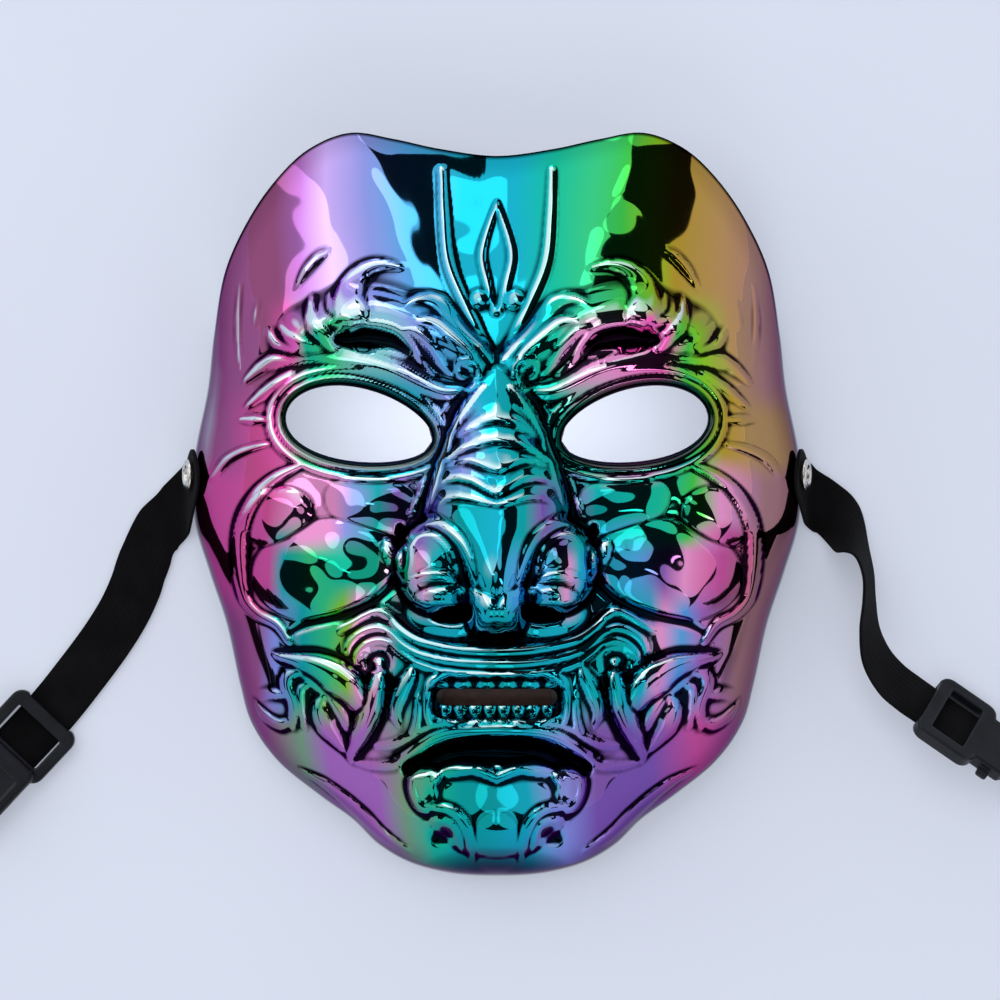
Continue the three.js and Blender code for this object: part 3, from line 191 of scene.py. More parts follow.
# %% Nose and cheeks
NOSE_ROLLS = {
    "bridge_edge": roll(1.9, (4.2, 38.4, 1), (9.6, 32.2, 1.6), (14.2, 25, 1.7), (17.6, 16, 1.8),
        (20.2, 7, 1.8), (23.6, -2, 1.7), (27.4, -8.4, 0.9)),
    "bridge_fold": roll(1.5, (15.6, 32.4, 0.8), (18.4, 25.4, 1.2), (20.6, 16, 1.4), (23.4, 6.4, 1.4),
        (27, -2.4, 0.8)),
    "wing_arch": roll(2.8, (28.6, -9.6, 0.9), (26.4, -5.6, 1.6), (22.6, -3.8, 2), (18.8, -4.4, 2.2),
        (15.2, -6.8, 2.3), (12, -10.2, 2.3), (9.9, -14.4, 2.1), (8.6, -20, 2), (7.8, -26, 1.7),
        (7.4, -32, 0.8)),
    "wing_arch_inner": roll(1.3, (27.6, -13, 0.5), (25.2, -9.2, 1), (21.6, -8.2, 1.2), (18, -9.6, 1.3),
        (15, -13, 1.2), (13, -18, 1), (11.8, -24, 0.5)),
    "wing_fold": roll(2, (28.6, -23, 0.8), (22.4, -21, 1.7), (16, -21.4, 1.9), (11, -24.4, 1.7),
        (8.6, -30, 0.8), lean=0.3),
    "wing_hem": roll(1.6, (27.6, -29, 0.8), (21.6, -30, 1.3), (15.6, -30.4, 1.3), (10.4, -30, 0.7)),
    "cheek_ridge": roll(3.4, (63.2, 13, 1.1), (69.5, 10, 1.9), (75.8, 5, 2.2), (80.4, -2, 2.4),
        (82.4, -10, 2.4), (82.6, -20, 2.3), (81.2, -29, 2.1), (77, -34, 1.9), (70.5, -37.4, 1.8),
        (66.4, -43, 1.2), edge=0.7),
}
print("rolls on the nose and the cheeks", len(NOSE_ROLLS))

# %% Lips, tusks, fangs and leaves
MOUTH_ROLLS = {
    "lip_roll_1": roll(2.8, (50.4, -38.8, 0.8), (46.4, -37, 1.4), (42.2, -34.4, 1.7), (38.2, -33, 1.8),
        (34.6, -34.6, 1.9), (31, -38.2, 2.1), (26, -41.4, 2.2), (20, -43.2, 2.2), (10, -44.8, 2.2),
        (0, -45.2, 2.2), edge=0.7),
    "lip_roll_2": roll(2.5, (47.8, -46.4, 0.8), (46.2, -42.6, 1.5), (42.4, -39.5, 1.7),
        (37.6, -38.2, 1.8), (33.8, -39.6, 1.8), (29.6, -43.4, 1.8), (24, -46.4, 1.8), (16, -48.2, 1.8),
        (8, -49, 1.8), (0, -49.2, 1.8), edge=0.7),
    "lip_roll_3": roll(2, (45, -50.4, 0.7), (44.2, -46.2, 1.3), (41.2, -43.2, 1.5), (37.4, -42, 1.5),
        (33.6, -43, 1.5), (30, -46.2, 1.5), (24, -49.8, 1.5), (16, -51.8, 1.5), (8, -52.6, 1.5),
        (0, -52.8, 1.5), edge=0.7),
    "tusk": roll(10.5, (71.2, -47.4, 0.5), (64.5, -48.2, 2.6), (57.4, -49.6, 4.5), (51.4, -52.4, 6),
        (46.6, -56.2, 6.2), (43.8, -60.6, 4.4), edge=0.6, lean=0.2),
    "gum_leaf": roll(3, (69.5, -50.6, 0.3), (64.5, -52, 1.2), (58.4, -55.2, 2), (53, -59.8, 2.5),
        (49.6, -64.8, 2.6), (47.2, -70, 2.1), (45.5, -75.6, 0.4), lean=0.3),
    "outer_leaf": roll(4.6, (54.6, -58.6, 0.4), (57.4, -64.4, 3.2), (55.6, -70.4, 3.8), (51.8, -75, 2.4),
        (48, -79.2, 0.3), edge=0.6, lean=-0.4),
    "hook_fold_1": roll(3.8, (57.6, -53.8, 0.6), (62, -52.2, 1.7), (66.4, -53.8, 2.3), (67.4, -57.4, 2.4),
        (65.6, -61.6, 2.1), (65, -66, 2), (66, -70.8, 0.7), edge=0.7),
    "hook_fold_2": roll(2.8, (59, -56.4, 0.5), (62.6, -58, 1.5), (62.8, -62.6, 1.7), (62, -70.4, 0.7)),
    "swirl_low": roll(3.2, (65.6, -68, 0.7), (70, -69.8, 1.9), (75, -67, 1.9), (78, -63, 0.5)),
    "swirl_high": roll(2.8, (66.4, -61, 0.7), (71, -59.8, 1.7), (76.4, -60.6, 0.5)),
    "fang": roll(9.6, (36.6, -51.4, 2), (37.4, -57.6, 3.9), (38.8, -64, 4.5), (41.2, -70, 4),
        (44.2, -75.6, 2.9), (47.4, -81, 0.4), edge=0.6, lean=0.3),
    "corner_column": roll(3.4, (26.4, -50.8, 1), (28, -55, 2.5), (30.4, -60, 3.1), (31.8, -64.6, 2.5),
        (31, -69, 0.7), edge=0.7, lean=0.3),
    "mouth_column": roll(2.2, (25, -59, 0.5), (24.8, -64, 1.3), (25.6, -69.6, 1.5), (28, -73.4, 0.6)),
    "mouth_frame": roll(2.3, (16.6, -52.8, 0.8), (20.6, -54.6, 1.4), (21.8, -60, 1.5), (22, -65.6, 1.4),
        (21.2, -69.4, 0.8)),
    "lower_lip_1": roll(3.4, (33.4, -81.4, 0.4), (28.8, -79.2, 1.6), (24, -75.8, 2.2), (19, -72.8, 2.4),
        (12, -71.2, 2.4), (0, -70.8, 2.4), edge=0.7),
    "lower_lip_2": roll(1.8, (38.8, -76.2, 0.5), (33, -75.4, 1), (27, -72.8, 1.2), (21.4, -69.8, 1.2),
        (14, -68.2, 1.1), (6, -67.8, 0.6)),
}
print("rolls round the mouth", len(MOUTH_ROLLS))

# %% Chin, and narrow lines cut into the forms
CHIN_ROLLS = {
    "jaw_hem": roll(1.6, (46.8, -81.4, 0.5), (40, -82.6, 1.1), (33, -82.2, 1.1), (27.4, -80.2, 0.6)),
    "chin_brim": roll(4.2, (20.6, -88.4, 0.8), (16.8, -84.8, 2.2), (12, -83, 2.8), (7.4, -82.8, 2.5),
        (3, -84.6, 2), (0, -86.2, 1.7), edge=0.7),
    "chin_corner": roll(1.2, (20.4, -88, 0.6), (19.4, -92, 1), (20.6, -96, 0.6)),
    "chin_lobe_edge": roll(2.2, (22.6, -81.4, 0.4), (26.4, -85, 1.3), (27.4, -90, 1.7),
        (25.4, -95.2, 1.5), (21.8, -98.4, 0.6)),
    "chin_leaf_1": roll(3.6, (23.4, -96.8, 0.5), (17.6, -96, 1.8), (12.8, -98.2, 2.3), (9.8, -103, 2.3),
        (8.2, -108.4, 2), (7.8, -114, 0.7)),
    "chin_leaf_2": roll(3.2, (22.8, -101.8, 0.4), (19, -100.2, 1.7), (15, -101, 2.1), (12.4, -105, 1.8),
        (11.4, -110.4, 0.5)),
    "jaw_rim": roll(4.4, (63, -85.4, 0.6), (55.5, -89.4, 1.8), (48.2, -95.2, 2.3), (41.5, -101.6, 2.3),
        (35.5, -107, 1.9), (28, -111.4, 0.7), edge=0.7),
}
GROOVES = {
    "fang_groove": roll(-0.7, (36.2, -55.6, 0.3), (36.6, -61, 0.8), (38.8, -67.8, 0.8), (42, -74, 0.3)),
    "tusk_groove": roll(-0.3, (60, -51, 0.3), (55, -53.2, 0.7), (50.4, -57, 0.7), (47.4, -61, 0.3)),
    "band_groove": roll(-0.5, (44, 48.6, 0.3), (36, 46.4, 0.7), (28.6, 42.6, 0.7), (21.6, 38.8, 0.3)),
}
ROLLS = {**BROW_ROLLS, **NOSE_ROLLS, **MOUTH_ROLLS, **CHIN_ROLLS}
ROLL_SHARE = 0.68
print("rolls", len(ROLLS), "at", ROLL_SHARE, "of their height, grooves", len(GROOVES))

# %% Spiral at the brow, rims of the eyes and plates over the bridge
SPIRAL = dict(at=[9.6, 43.2], first=4.2, last=1.2, turns=1.3, start=200, wide=1.05, high=2)
EYE_ROLLS = [dict(off=1.9, half=1.9, high=1.9), dict(off=5, half=1.5, high=1.6)]
# Lower edges of the plates, by distance from the middle line
PLATE_REACH = [0, 4, 8, 12, 16, 20]
PLATE_EDGES = [[34.5, 32, 28.6, 24, 19, 14], [26.4, 26, 24.8, 22.4, 19, 14],
               [20, 19.4, 18.4, 16.6, 14, 10], [10, 12, 13.8, 14, 12.4, 9],
               [3, 5.2, 7.4, 8.2, 7.6, 5], [0, 0.6, 1.6, 2.2, 1.6, -1]]
PLATE_RISE = 2.1
PLATE_DROP_POWER = 9
print("plates", len(PLATE_EDGES) - 1)

# %% [markdown]
# ## Curves
# A smooth line through a few places is all that the tables need. A curve object would do, but
# then its points would have to be read back from Blender, and the sum is short.

# %% Easing, curves and distances
def smooth(value, low, high):
    share = np.clip((value - low) / (high - low), 0, 1)
    return share * share * (3 - 2 * share)


def mix(a, b, share):
    return a + (b - a) * share


def curve_points(points, steps):
    """Points of the smooth curve through the given ones, with its ends held."""
    held = np.array([points[0], *points, points[-1]], float)
    share = (np.arange(steps) / steps)[:, None]
    spans = []
    for p0, p1, p2, p3 in zip(held, held[1:], held[2:], held[3:]):
        v0, v1 = (p2 - p0) / 2, (p3 - p1) / 2
        spans.append((2 * p1 - 2 * p2 + v0 + v1) * share**3 + (3 * p2 - 3 * p1 - 2 * v0 - v1) * share**2
                     + v0 * share + p1)
    return np.vstack([*spans, held[-1:]])


def along(stations, values, at):
    """Value at a place in a falling list of stations, on a smooth curve through the values."""
    line = curve_points(list(zip(stations, values)), 8)[::-1]
    return np.interp(at, line[:, 0], line[:, 1])


def nearest(line, widths, x, y):
    """Distance to a line of points, the half width there, and 1 left of the line or -1 right."""
    best = np.full(x.shape, np.inf)
    width = np.zeros(x.shape)
    side = np.ones(x.shape)
    for (ax, ay), (bx, by), wa, wb in zip(line, line[1:], widths, widths[1:]):
        dx, dy = bx - ax, by - ay
        share = np.clip(((x - ax) * dx + (y - ay) * dy) / (dx * dx + dy * dy), 0, 1)
        away = np.hypot(x - ax - share * dx, y - ay - share * dy)
        closer = away < best
        best = np.where(closer, away, best)
        width = np.where(closer, mix(wa, wb, share), width)
        side = np.where(closer, np.sign(dx * (y - ay) - dy * (x - ax)), side)
    return best, width, side


print("half width of the bridge at the tip", along(BRIDGE_Y, BRIDGE_HALF, BRIDGE_Y[7]), "mm")

# %% [markdown]
# ## Heights of the face
# Every function here takes arrays of places, with x folded to the right half, and gives heights.
# First the two kinds of raised form, then the plain face: a dome over the rim, and the nose, the
# cheeks, the brows, the mouth and the chin added to it.

# %% Rolls and swells
CURVE_STEPS = 10


def roll_height(x, y, path, wide, high, edge=0.8, lean=0.0):
    line = curve_points(path, CURVE_STEPS)
    widths = np.interp(np.arange(len(line)) / CURVE_STEPS, np.arange(len(wide)), wide)
    most = widths.max()
    reach = most * (1 + abs(lean))
    (low_x, low_y), (high_x, high_y) = line.min(0) - reach, line.max(0) + reach
    near = (x > low_x) & (x < high_x) & (y > low_y) & (y < high_y)
    away, width, side = nearest(line, widths, x[near], y[near])
    height = np.zeros(x.shape)
    inside = np.clip(1 - (away / np.maximum(width * (1 + lean * side), 1e-6)) ** 2, 0, 1)
    height[near] = high * (width / most) ** 0.6 * inside**edge
    return height


def swell_height(x, y, at, size, turn, high, edge):
    c, s = math.cos(math.radians(turn)), math.sin(math.radians(turn))
    dx, dy = x - at[0], y - at[1]
    reach = ((dx * c + dy * s) / size[0]) ** 2 + ((dy * c - dx * s) / size[1]) ** 2
    return high * np.clip(1 - reach, 0, 1) ** edge


def swell(name, x, y):
    return swell_height(x, y, **SWELLS[name])


def fold(name, x, y):
    return roll_height(x, y, **FOLDS[name], edge=2)


print("a swell at its middle", swell("nose_wing", *SWELLS["nose_wing"]["at"]), "mm")

# %% Rim and dome
held_outline = [(-18, 114.8), *OUTLINE, (-14.5, -119.2)]
rim_line = curve_points(held_outline, CURVE_STEPS)[CURVE_STEPS:-CURVE_STEPS]
rim_angles = np.arctan2(np.abs(rim_line[:, 0]), rim_line[:, 1])
rim_radii = np.hypot(rim_line[:, 0], rim_line[:, 1])


def rim_radius(angle):
    return np.interp(angle, rim_angles, rim_radii)


def rim_height(y):
    return RIM_LIFT * smooth(y, RIM_LIFT_FROM, RIM_LIFT_TO)


def dome_height(x, y):
    radius = np.hypot(x, y)
    reach = np.clip(radius / rim_radius(np.arctan2(x, y)), 0, 1)
    top = smooth(y / np.maximum(radius, 1e-6), 0.35, 0.95)
    rim = rim_height(y) + RIM_BAND + 3.5 * top
    return rim + (CROWN - rim) * (1 - reach**3) ** mix(0.6, 1, top)


print("rim", round(rim_radii.min(), 1), "to", round(rim_radii.max(), 1), "mm from the middle")

# %% Nose, mouth and all plain forms
BEND_HIGH, BEND_REACH = 1.8, 4


def nose_height(x, y):
    """The bridge and the wings, with an easy bend where they meet."""
    half = along(BRIDGE_Y, BRIDGE_HALF, y)
    rise = along(BRIDGE_Y, BRIDGE_RISE, y)
    bridge = rise * np.clip(1 - (x / half) ** 2, 0, 1) ** 0.8
    wing = swell("nose_wing", x, y)
    bend = BEND_HIGH * np.exp(-(((bridge - wing) / BEND_REACH) ** 2))
    return np.maximum(bridge, wing) + bend * (np.minimum(bridge, wing) > 0)


def mouth_field(x, y):
    """A sunken field with rounded corners, where the teeth stand."""
    middle = (MOUTH_FIELD["top"] + MOUTH_FIELD["bottom"]) / 2
    tall = (MOUTH_FIELD["top"] - MOUTH_FIELD["bottom"]) / 2
    reach = (x / MOUTH_FIELD["half"]) ** 6 + (np.abs(y - middle) / tall) ** 6
    return -MOUTH_FIELD["deep"] * np.clip(1 - reach, 0, 1) ** 0.4


def form_height(x, y):
    cheek = np.maximum.reduce([swell(name, x, y) for name in ("cheek_apple", "cheek_lobe", "cheek_top")])
    chin = np.maximum(swell("chin_boss", x, y), swell("chin_lobe", x, y))
    return (dome_height(x, y) + nose_height(x, y) + cheek + fold("brow", x, y)
            + swell("socket", x, y) + swell("muzzle", x, y)
            + mouth_field(x, y) + fold("lip_hollow", x, y) + fold("brow_hollow", x, y)
            + swell("nose_base", x, y) + chin)


tip = form_height(np.zeros(1), np.full(1, -22.0))
print("tip of the nose", tip.round(1), "mm over the floor")

# %% [markdown]
# ## Openings
# The eyes and the mouth slot are cut right through the shell. A boolean would cut them, but it
# leaves slivers on a dense grid, so the grid's own vertices are laid on the openings' curves.
# For that, a place needs its distance from a closed curve, which is negative inside.

# %% Curves of the openings
def eye_curve(count):
    angle = np.arange(count) / count * 2 * np.pi
    forward = EYE["long"] * np.cos(angle)
    across = EYE["high"] * np.sin(angle) * (1 + EYE["pear"] * np.cos(angle))
    across += EYE["bow"] * np.cos(angle) ** 2
    c, s = math.cos(math.radians(EYE["turn"])), math.sin(math.radians(EYE["turn"]))
    return np.stack([EYE["at"][0] + forward * c - across * s, EYE["at"][1] + forward * s + across * c], 1)


def slot_curve(count):
    radius = (MOUTH_SLOT["top"] - MOUTH_SLOT["bottom"]) / 2
    middle = (MOUTH_SLOT["top"] + MOUTH_SLOT["bottom"]) / 2
    angle = np.arange(count) / count * 2 * np.pi
    shift = np.where(np.cos(angle) >= 0, 1, -1) * (MOUTH_SLOT["half"] - radius)
    return np.stack([shift + radius * np.cos(angle), middle + radius * np.sin(angle)], 1)


def openings():
    eye = eye_curve(160)
    return {"eye_right": eye, "eye_left": eye * [-1, 1], "mouth": slot_curve(96)}


def curve_distance(curve, x, y):
    """Signed distance to a closed curve, and its nearest point."""
    loop = np.vstack([curve, curve[:1]])
    best = np.full(x.shape, np.inf)
    place = np.zeros(x.shape + (2,))
    inside = np.zeros(x.shape, bool)
    for (ax, ay), (bx, by) in zip(loop, loop[1:]):
        dx, dy = bx - ax, by - ay
        share = np.clip(((x - ax) * dx + (y - ay) * dy) / max(dx * dx + dy * dy, 1e-12), 0, 1)
        px, py = ax + share * dx, ay + share * dy
        away = np.hypot(x - px, y - py)
        closer = away < best
        best = np.where(closer, away, best)
        place[closer] = np.stack([px, py], -1)[closer]
        if ay != by:
            inside ^= ((ay > y) != (by > y)) & (x < ax + (y - ay) * dx / dy)
    return np.where(inside, -best, best), place


for name, curve in openings().items():
    print(name, "opening", np.ptp(curve, axis=0).round(1), "mm")

# %% [markdown]
# ## Relief on the forms
# The carving goes on top of the plain forms, and the pits go into them. The plated wall of a
# real moulding is never quite even either, and its slow waves bend each reflection, so faint
# ripples are added all over and livelier ones in the cheeks.

# %% Rims of the eyes, teeth and spiral
def eye_rolls(x, y):
    height = np.zeros(x.shape)
    near = (np.abs(x - EYE["at"][0]) < 36) & (np.abs(y - EYE["at"][1]) < 26)
    away, _ = curve_distance(eye_curve(160), x[near], y[near])
    rolls = [rim["high"] * np.clip(1 - ((away - rim["off"]) / rim["half"]) ** 2, 0, 1) ** 0.75
             for rim in EYE_ROLLS]
    height[near] = np.maximum.reduce(rolls) * (away > 0)
    return height


def teeth_height(x, y):
    best = np.zeros(x.shape)
    for row in TEETH:
        for i in range(row["count"]):
            across = np.abs(x - (i + 0.5) * row["pitch"]) / row["half"][0]
            reach = across**4 + (np.abs(y - row["y"]) / row["half"][1]) ** 4
            best = np.maximum(best, row["high"] * np.clip(1 - reach, 0, 1) ** 0.5)
    return best


def spiral_roll():
    count = math.ceil(SPIRAL["turns"] * 8)
    share = np.arange(count + 1) / count
    radius = mix(SPIRAL["first"], SPIRAL["last"], share)
    angle = math.radians(SPIRAL["start"]) - share * SPIRAL["turns"] * 2 * math.pi
    (x, y), wide = SPIRAL["at"], SPIRAL["wide"]
    path = np.stack([x + radius * np.cos(angle), y + radius * np.sin(angle)], 1)
    return dict(path=path, wide=[wide] * (count + 1), high=SPIRAL["high"])


print("spiral of", len(spiral_roll()["path"]), "places")

# %% Plates, carving and pits
def plates_height(x, y):
    """Plates over the bridge. Each rises slowly from the one above it and ends in a short drop."""
    edges = np.array([np.interp(x, PLATE_REACH, edge) for edge in PLATE_EDGES])
    height = np.zeros(x.shape)
    for upper, lower in zip(edges, edges[1:]):
        share = np.clip((upper - y) / np.maximum(upper - lower, 0.5), 0, 1)
        height += share**1.2 * (1 - share**PLATE_DROP_POWER) * np.minimum(1, (upper - lower) / 5)
    return PLATE_RISE * height * smooth(x, 21, 14)


def carving_height(x, y):
    beads = [swell(name, x, y) for name in ("corner_bead", "eyelet", "forehead_bead", "chin_keel")]
    rolls = [roll_height(x, y, **facts) for facts in [*ROLLS.values(), spiral_roll()]]
    carved = ROLL_SHARE * np.maximum.reduce(rolls)
    raised = np.maximum.reduce([eye_rolls(x, y), teeth_height(x, y), plates_height(x, y), carved, *beads])
    return raised + sum(roll_height(x, y, **groove) for groove in GROOVES.values())


def pit_height(x, y):
    pits = [swell(name, x, y) for name in ("corner_pit", "nostril", "chin_bowl")]
    return fold("cheek_crease", x, y) + pits[0] + pits[1] + pits[2]


print("lowest pit", pit_height(*np.meshgrid(np.arange(60.0), np.arange(-110.0, 0))).min().round(1), "mm")

# %% Waves in the wall
# Length, direction, start and height: slow ones all over, and livelier ones in the cheeks
RIPPLES = [(23, 20, 0.3, 0.11), (17, 75, 1.1, 0.07), (29, 130, 2.0, 0.14), (19, 100, 2.6, 0.06)]
CHEEK_WAVES = [(15, 62, 0.4, 0.34), (19, 118, 1.9, 0.38), (12, 8, 2.6, 0.16)]
CHEEK_PATCH = dict(at=[55, -14], size=[27, 26], turn=0, high=1, edge=1)


def wave_height(x, y, waves):
    height = np.zeros(x.shape)
    for length, direction, start, high in waves:
        a = math.radians(direction)
        height += high * np.sin((x * math.cos(a) + y * math.sin(a)) / length * 2 * math.pi + start)
    return height


def ripple_height(x, y):
    inset = rim_radius(np.arctan2(np.abs(x), y)) - np.hypot(x, y)
    cheek = swell_height(np.abs(x), y, **CHEEK_PATCH)
    return (wave_height(x, y, RIPPLES) + cheek * wave_height(x, y, CHEEK_WAVES)) * smooth(inset, 0, 10)


print("waves", len(RIPPLES) + len(CHEEK_WAVES))

# %% [markdown]
# ## Outside and inside
# The outside is all of these heights together. The inside of a moulding is plainer: it is where
# a ball as thick as the wall would rest under the plain forms, so the wall never gets thin, even
# on a steep side. A Solidify modifier would cross itself in the narrow creases.

# %% Heights of the outside and the inside
BALL_RINGS = (0, 0.5, 0.85, 1)
BALL_SPOKES = 10
# Towards the middle the ball gets wider, so that the inside there is easier than the outside
LOOSE, LOOSE_FROM, LOOSE_TO = 1.7, 60, 85


def outer_height(x, y):
    side = np.abs(x)
    return form_height(side, y) + carving_height(side, y) + pit_height(side, y) + ripple_height(x, y)


def inner_height(x, y):
    """The highest place for a ball as thick as the wall under the plain outer forms."""
    loose = WALL * mix(LOOSE, 1, smooth(np.hypot(x, y), LOOSE_FROM, LOOSE_TO))
    height = np.full(x.shape, np.inf)
    for away in BALL_RINGS:
        spokes = BALL_SPOKES if away else 1
        for angle in np.arange(spokes) / BALL_SPOKES * 2 * np.pi:
            px = np.abs(x + loose * away * np.cos(angle))
            py = y + loose * away * np.sin(angle)
            over = form_height(px, py) + pit_height(px, py) - WALL * math.sqrt(1 - away * away)
            beyond = np.hypot(px, py) > rim_radius(np.arctan2(px, py))
            height = np.minimum(height, np.where(beyond, rim_height(py), over))
    return height


def rim_place(s, t):
    """Place over the floor for a place in the square from -1 to 1, whose edge goes to the rim."""
    u, v = s * np.sqrt(1 - t * t / 2), t * np.sqrt(1 - s * s / 2)
    reach = np.hypot(u, v)
    safe = np.maximum(reach, 1e-9)
    radius = rim_radius(np.arctan2(np.abs(u), v)) * reach * (1.2 - 0.2 * reach)
    return u / safe * radius, v / safe * radius


middle = np.zeros(1)
print("wall in the middle", (outer_height(middle, middle) - inner_height(middle, middle)).round(1), "mm")

# %% [markdown]
# ## Working on meshes in code
# By hand, faces are picked with the mouse and then an operator acts on them. In code the picking
# is a test on places or on edges, and the operator comes after it in the same way. An operator
# acts on all that is selected, so everything is deselected first.

# %% Selecting and editing
def deselect():
    if bpy.context.object and bpy.context.object.mode != "OBJECT":
        bpy.ops.object.mode_set(mode="OBJECT")
    bpy.ops.object.select_all(action="DESELECT")


def make_active(obj):
    deselect()
    obj.select_set(True)
    bpy.context.view_layer.objects.active = obj


def edit_chosen(obj, kind, chosen):
    """Goes to edit mode with some faces or edges selected, given as one truth value for each."""
    make_active(obj)
    bpy.ops.object.mode_set(mode="EDIT")
    bpy.ops.mesh.select_all(action="DESELECT")
    bpy.ops.mesh.select_mode(type=kind)
    bpy.ops.object.mode_set(mode="OBJECT")
    elements = obj.data.polygons if kind == "FACE" else obj.data.edges
    elements.foreach_set("select", chosen)
    bpy.ops.object.mode_set(mode="EDIT")


def edit_all(obj, operator, **settings):
    """Runs one edit mode operator on the whole mesh."""
    make_active(obj)
    bpy.ops.object.mode_set(mode="EDIT")
    bpy.ops.mesh.select_all(action="SELECT")
    operator(**settings)
    bpy.ops.object.mode_set(mode="OBJECT")


# %% Modifiers and places
def apply_modifier(obj, kind, **settings):
    make_active(obj)
    modifier = obj.modifiers.new(kind.lower(), kind)
    for key, value in settings.items():
        setattr(modifier, key, value)
    bpy.ops.object.modifier_apply(modifier=modifier.name)
    print(kind.lower(), "applied:", len(obj.data.polygons), "faces")


def read_places(obj):
    places = np.zeros(len(obj.data.vertices) * 3)
    obj.data.vertices.foreach_get("co", places)
    return places.reshape(-1, 3)


def write_places(obj, places):
    obj.data.vertices.foreach_set("co", np.ascontiguousarray(places, float).ravel())
    obj.data.update()


# %% Grids, edges and joined objects
def grid_object(name, columns, rows):
    deselect()
    bpy.ops.mesh.primitive_grid_add(x_subdivisions=columns, y_subdivisions=rows, size=2)
    obj = bpy.context.object
    obj.name = obj.data.name = name
    print(name, "grid of", columns, "by", rows)
    return obj


def edge_ends(obj):
    """Numbers of the two vertices of each edge."""
    ends = np.zeros(len(obj.data.edges) * 2, int)
    obj.data.edges.foreach_get("vertices", ends)
    return ends.reshape(-1, 2)


def upright_edges(obj):
    heights = read_places(obj)[:, 2]
    ends = edge_ends(obj)
    return np.abs(heights[ends[:, 0]] - heights[ends[:, 1]]) > 1e-5


def joined(parts):
    make_active(parts[0])
    for part in parts[1:]:
        part.select_set(True)
    if len(parts) > 1:
        bpy.ops.object.join()
    return bpy.context.object


# %% [markdown]
# ## Edges of the shell
# A moulded shell has an outer and an inner skin, joined round the rim and round every opening.
# Here the outer skin's open borders are extruded down the wall's thickness with rounded corners,
# ring by ring, and then bridged to the inner skin, which leaves one closed mesh.

# %% Borders
def border_edges(obj):
    """Which edges have a single face, and the vertices of all edges."""
    mesh = obj.data
    edge_of_corner = np.zeros(len(mesh.loops), int)
    mesh.loops.foreach_get("edge_index", edge_of_corner)
    uses = np.bincount(edge_of_corner, minlength=len(mesh.edges))
    return uses == 1, edge_ends(obj)


def edit_border(obj, chosen_vertices):
    """Goes to edit mode with the border edges between chosen vertices selected."""
    border, ends = border_edges(obj)
    edit_chosen(obj, "EDGE", border & chosen_vertices[ends].all(1))


def extrude_border(obj, chosen_vertices, place_of):
    """Pushes out the border edges between chosen vertices. place_of gives the new places."""
    old = len(obj.data.vertices)
    edit_border(obj, chosen_vertices)
    bpy.ops.mesh.extrude_edges_move(TRANSFORM_OT_translate={"value": (0, 0, 0)})
    bpy.ops.object.mode_set(mode="OBJECT")
    places = read_places(obj)
    fresh = np.arange(len(places)) >= old
    places[fresh] = place_of(places[fresh])
    write_places(obj, places)
    return fresh


def inset_from_rim(places):
    radius = np.hypot(places[:, 0], places[:, 1])
    return rim_radius(np.arctan2(np.abs(places[:, 0]), places[:, 1])) - radius


def near_curve(places, curve, reach):
    away, _ = curve_distance(curve, places[:, 0], places[:, 1])
    return np.abs(away) < reach


# %% Cutting the openings
def cut_openings(obj, height_of):
    """Snaps the grid's vertices inside an opening to its curve and takes the faces away."""
    corners = np.zeros(len(obj.data.loops), int)
    obj.data.loops.foreach_get("vertex_index", corners)
    corners = corners.reshape(-1, 4)
    places = read_places(obj)
    gone = np.zeros(len(corners), bool)
    for curve in openings().values():
        away, spot = curve_distance(curve, places[:, 0], places[:, 1])
        inside = away < 1e-6
        gone |= inside[corners].all(1)
        edge = np.zeros(len(places), bool)
        mixed = inside[corners].any(1) & ~inside[corners].all(1)
        edge[corners[mixed].ravel()] = True
        edge &= inside
        places[edge, :2] = spot[edge]
        places[edge, 2] = height_of(spot[edge, 0], spot[edge, 1])
    write_places(obj, places)
    edit_chosen(obj, "FACE", gone)
    bpy.ops.mesh.delete(type="FACE")
    bpy.ops.object.mode_set(mode="OBJECT")
    print(obj.name, "lost", int(gone.sum()), "faces to the openings")


# %% Rounding the borders
# How far each ring lies inside the outline, and how high over the rim
RIM_RINGS = [(0.0, 0.45), (0.12, 0.12), (0.45, 0.0), (1.95, 0.0), (2.3, 0.4), (2.4, 4.0)]
RIM_ZONE = 4
LIP_INSET, LIP_DROP, LIP_OVERLAP = 0.1, 0.35, 0.3


def turn_rim(obj):
    """Takes the rim's border round its lower edge and up inside."""
    chosen = inset_from_rim(read_places(obj)) < 0.01
    for inset, up in RIM_RINGS:
        def place_of(spots, inset=inset, up=up):
            angle = np.arctan2(spots[:, 0], spots[:, 1])
            reach = rim_radius(np.abs(angle)) - inset
            y = reach * np.cos(angle)
            return np.stack([reach * np.sin(angle), y, rim_height(y) + up], 1)
        chosen = extrude_border(obj, chosen, place_of)


def turn_opening(obj, curve):
    """Takes an opening's border over a small step and down to the inner skin."""
    places = read_places(obj)
    chosen = near_curve(places, curve, 0.02) & (inset_from_rim(places) >= RIM_ZONE)
    centre = curve.mean(0)
    for down in (LIP_DROP, None):
        def place_of(spots, down=down):
            _, spot = curve_distance(curve, spots[:, 0], spots[:, 1])
            z = spots[:, 2] - down if down else inner_height(spot[:, 0], spot[:, 1]) - LIP_OVERLAP
            towards = centre - spot
            towards /= np.linalg.norm(towards, axis=1)[:, None]
            return np.stack([*(spot + towards * LIP_INSET).T, z], 1)
        chosen = extrude_border(obj, chosen, place_of)


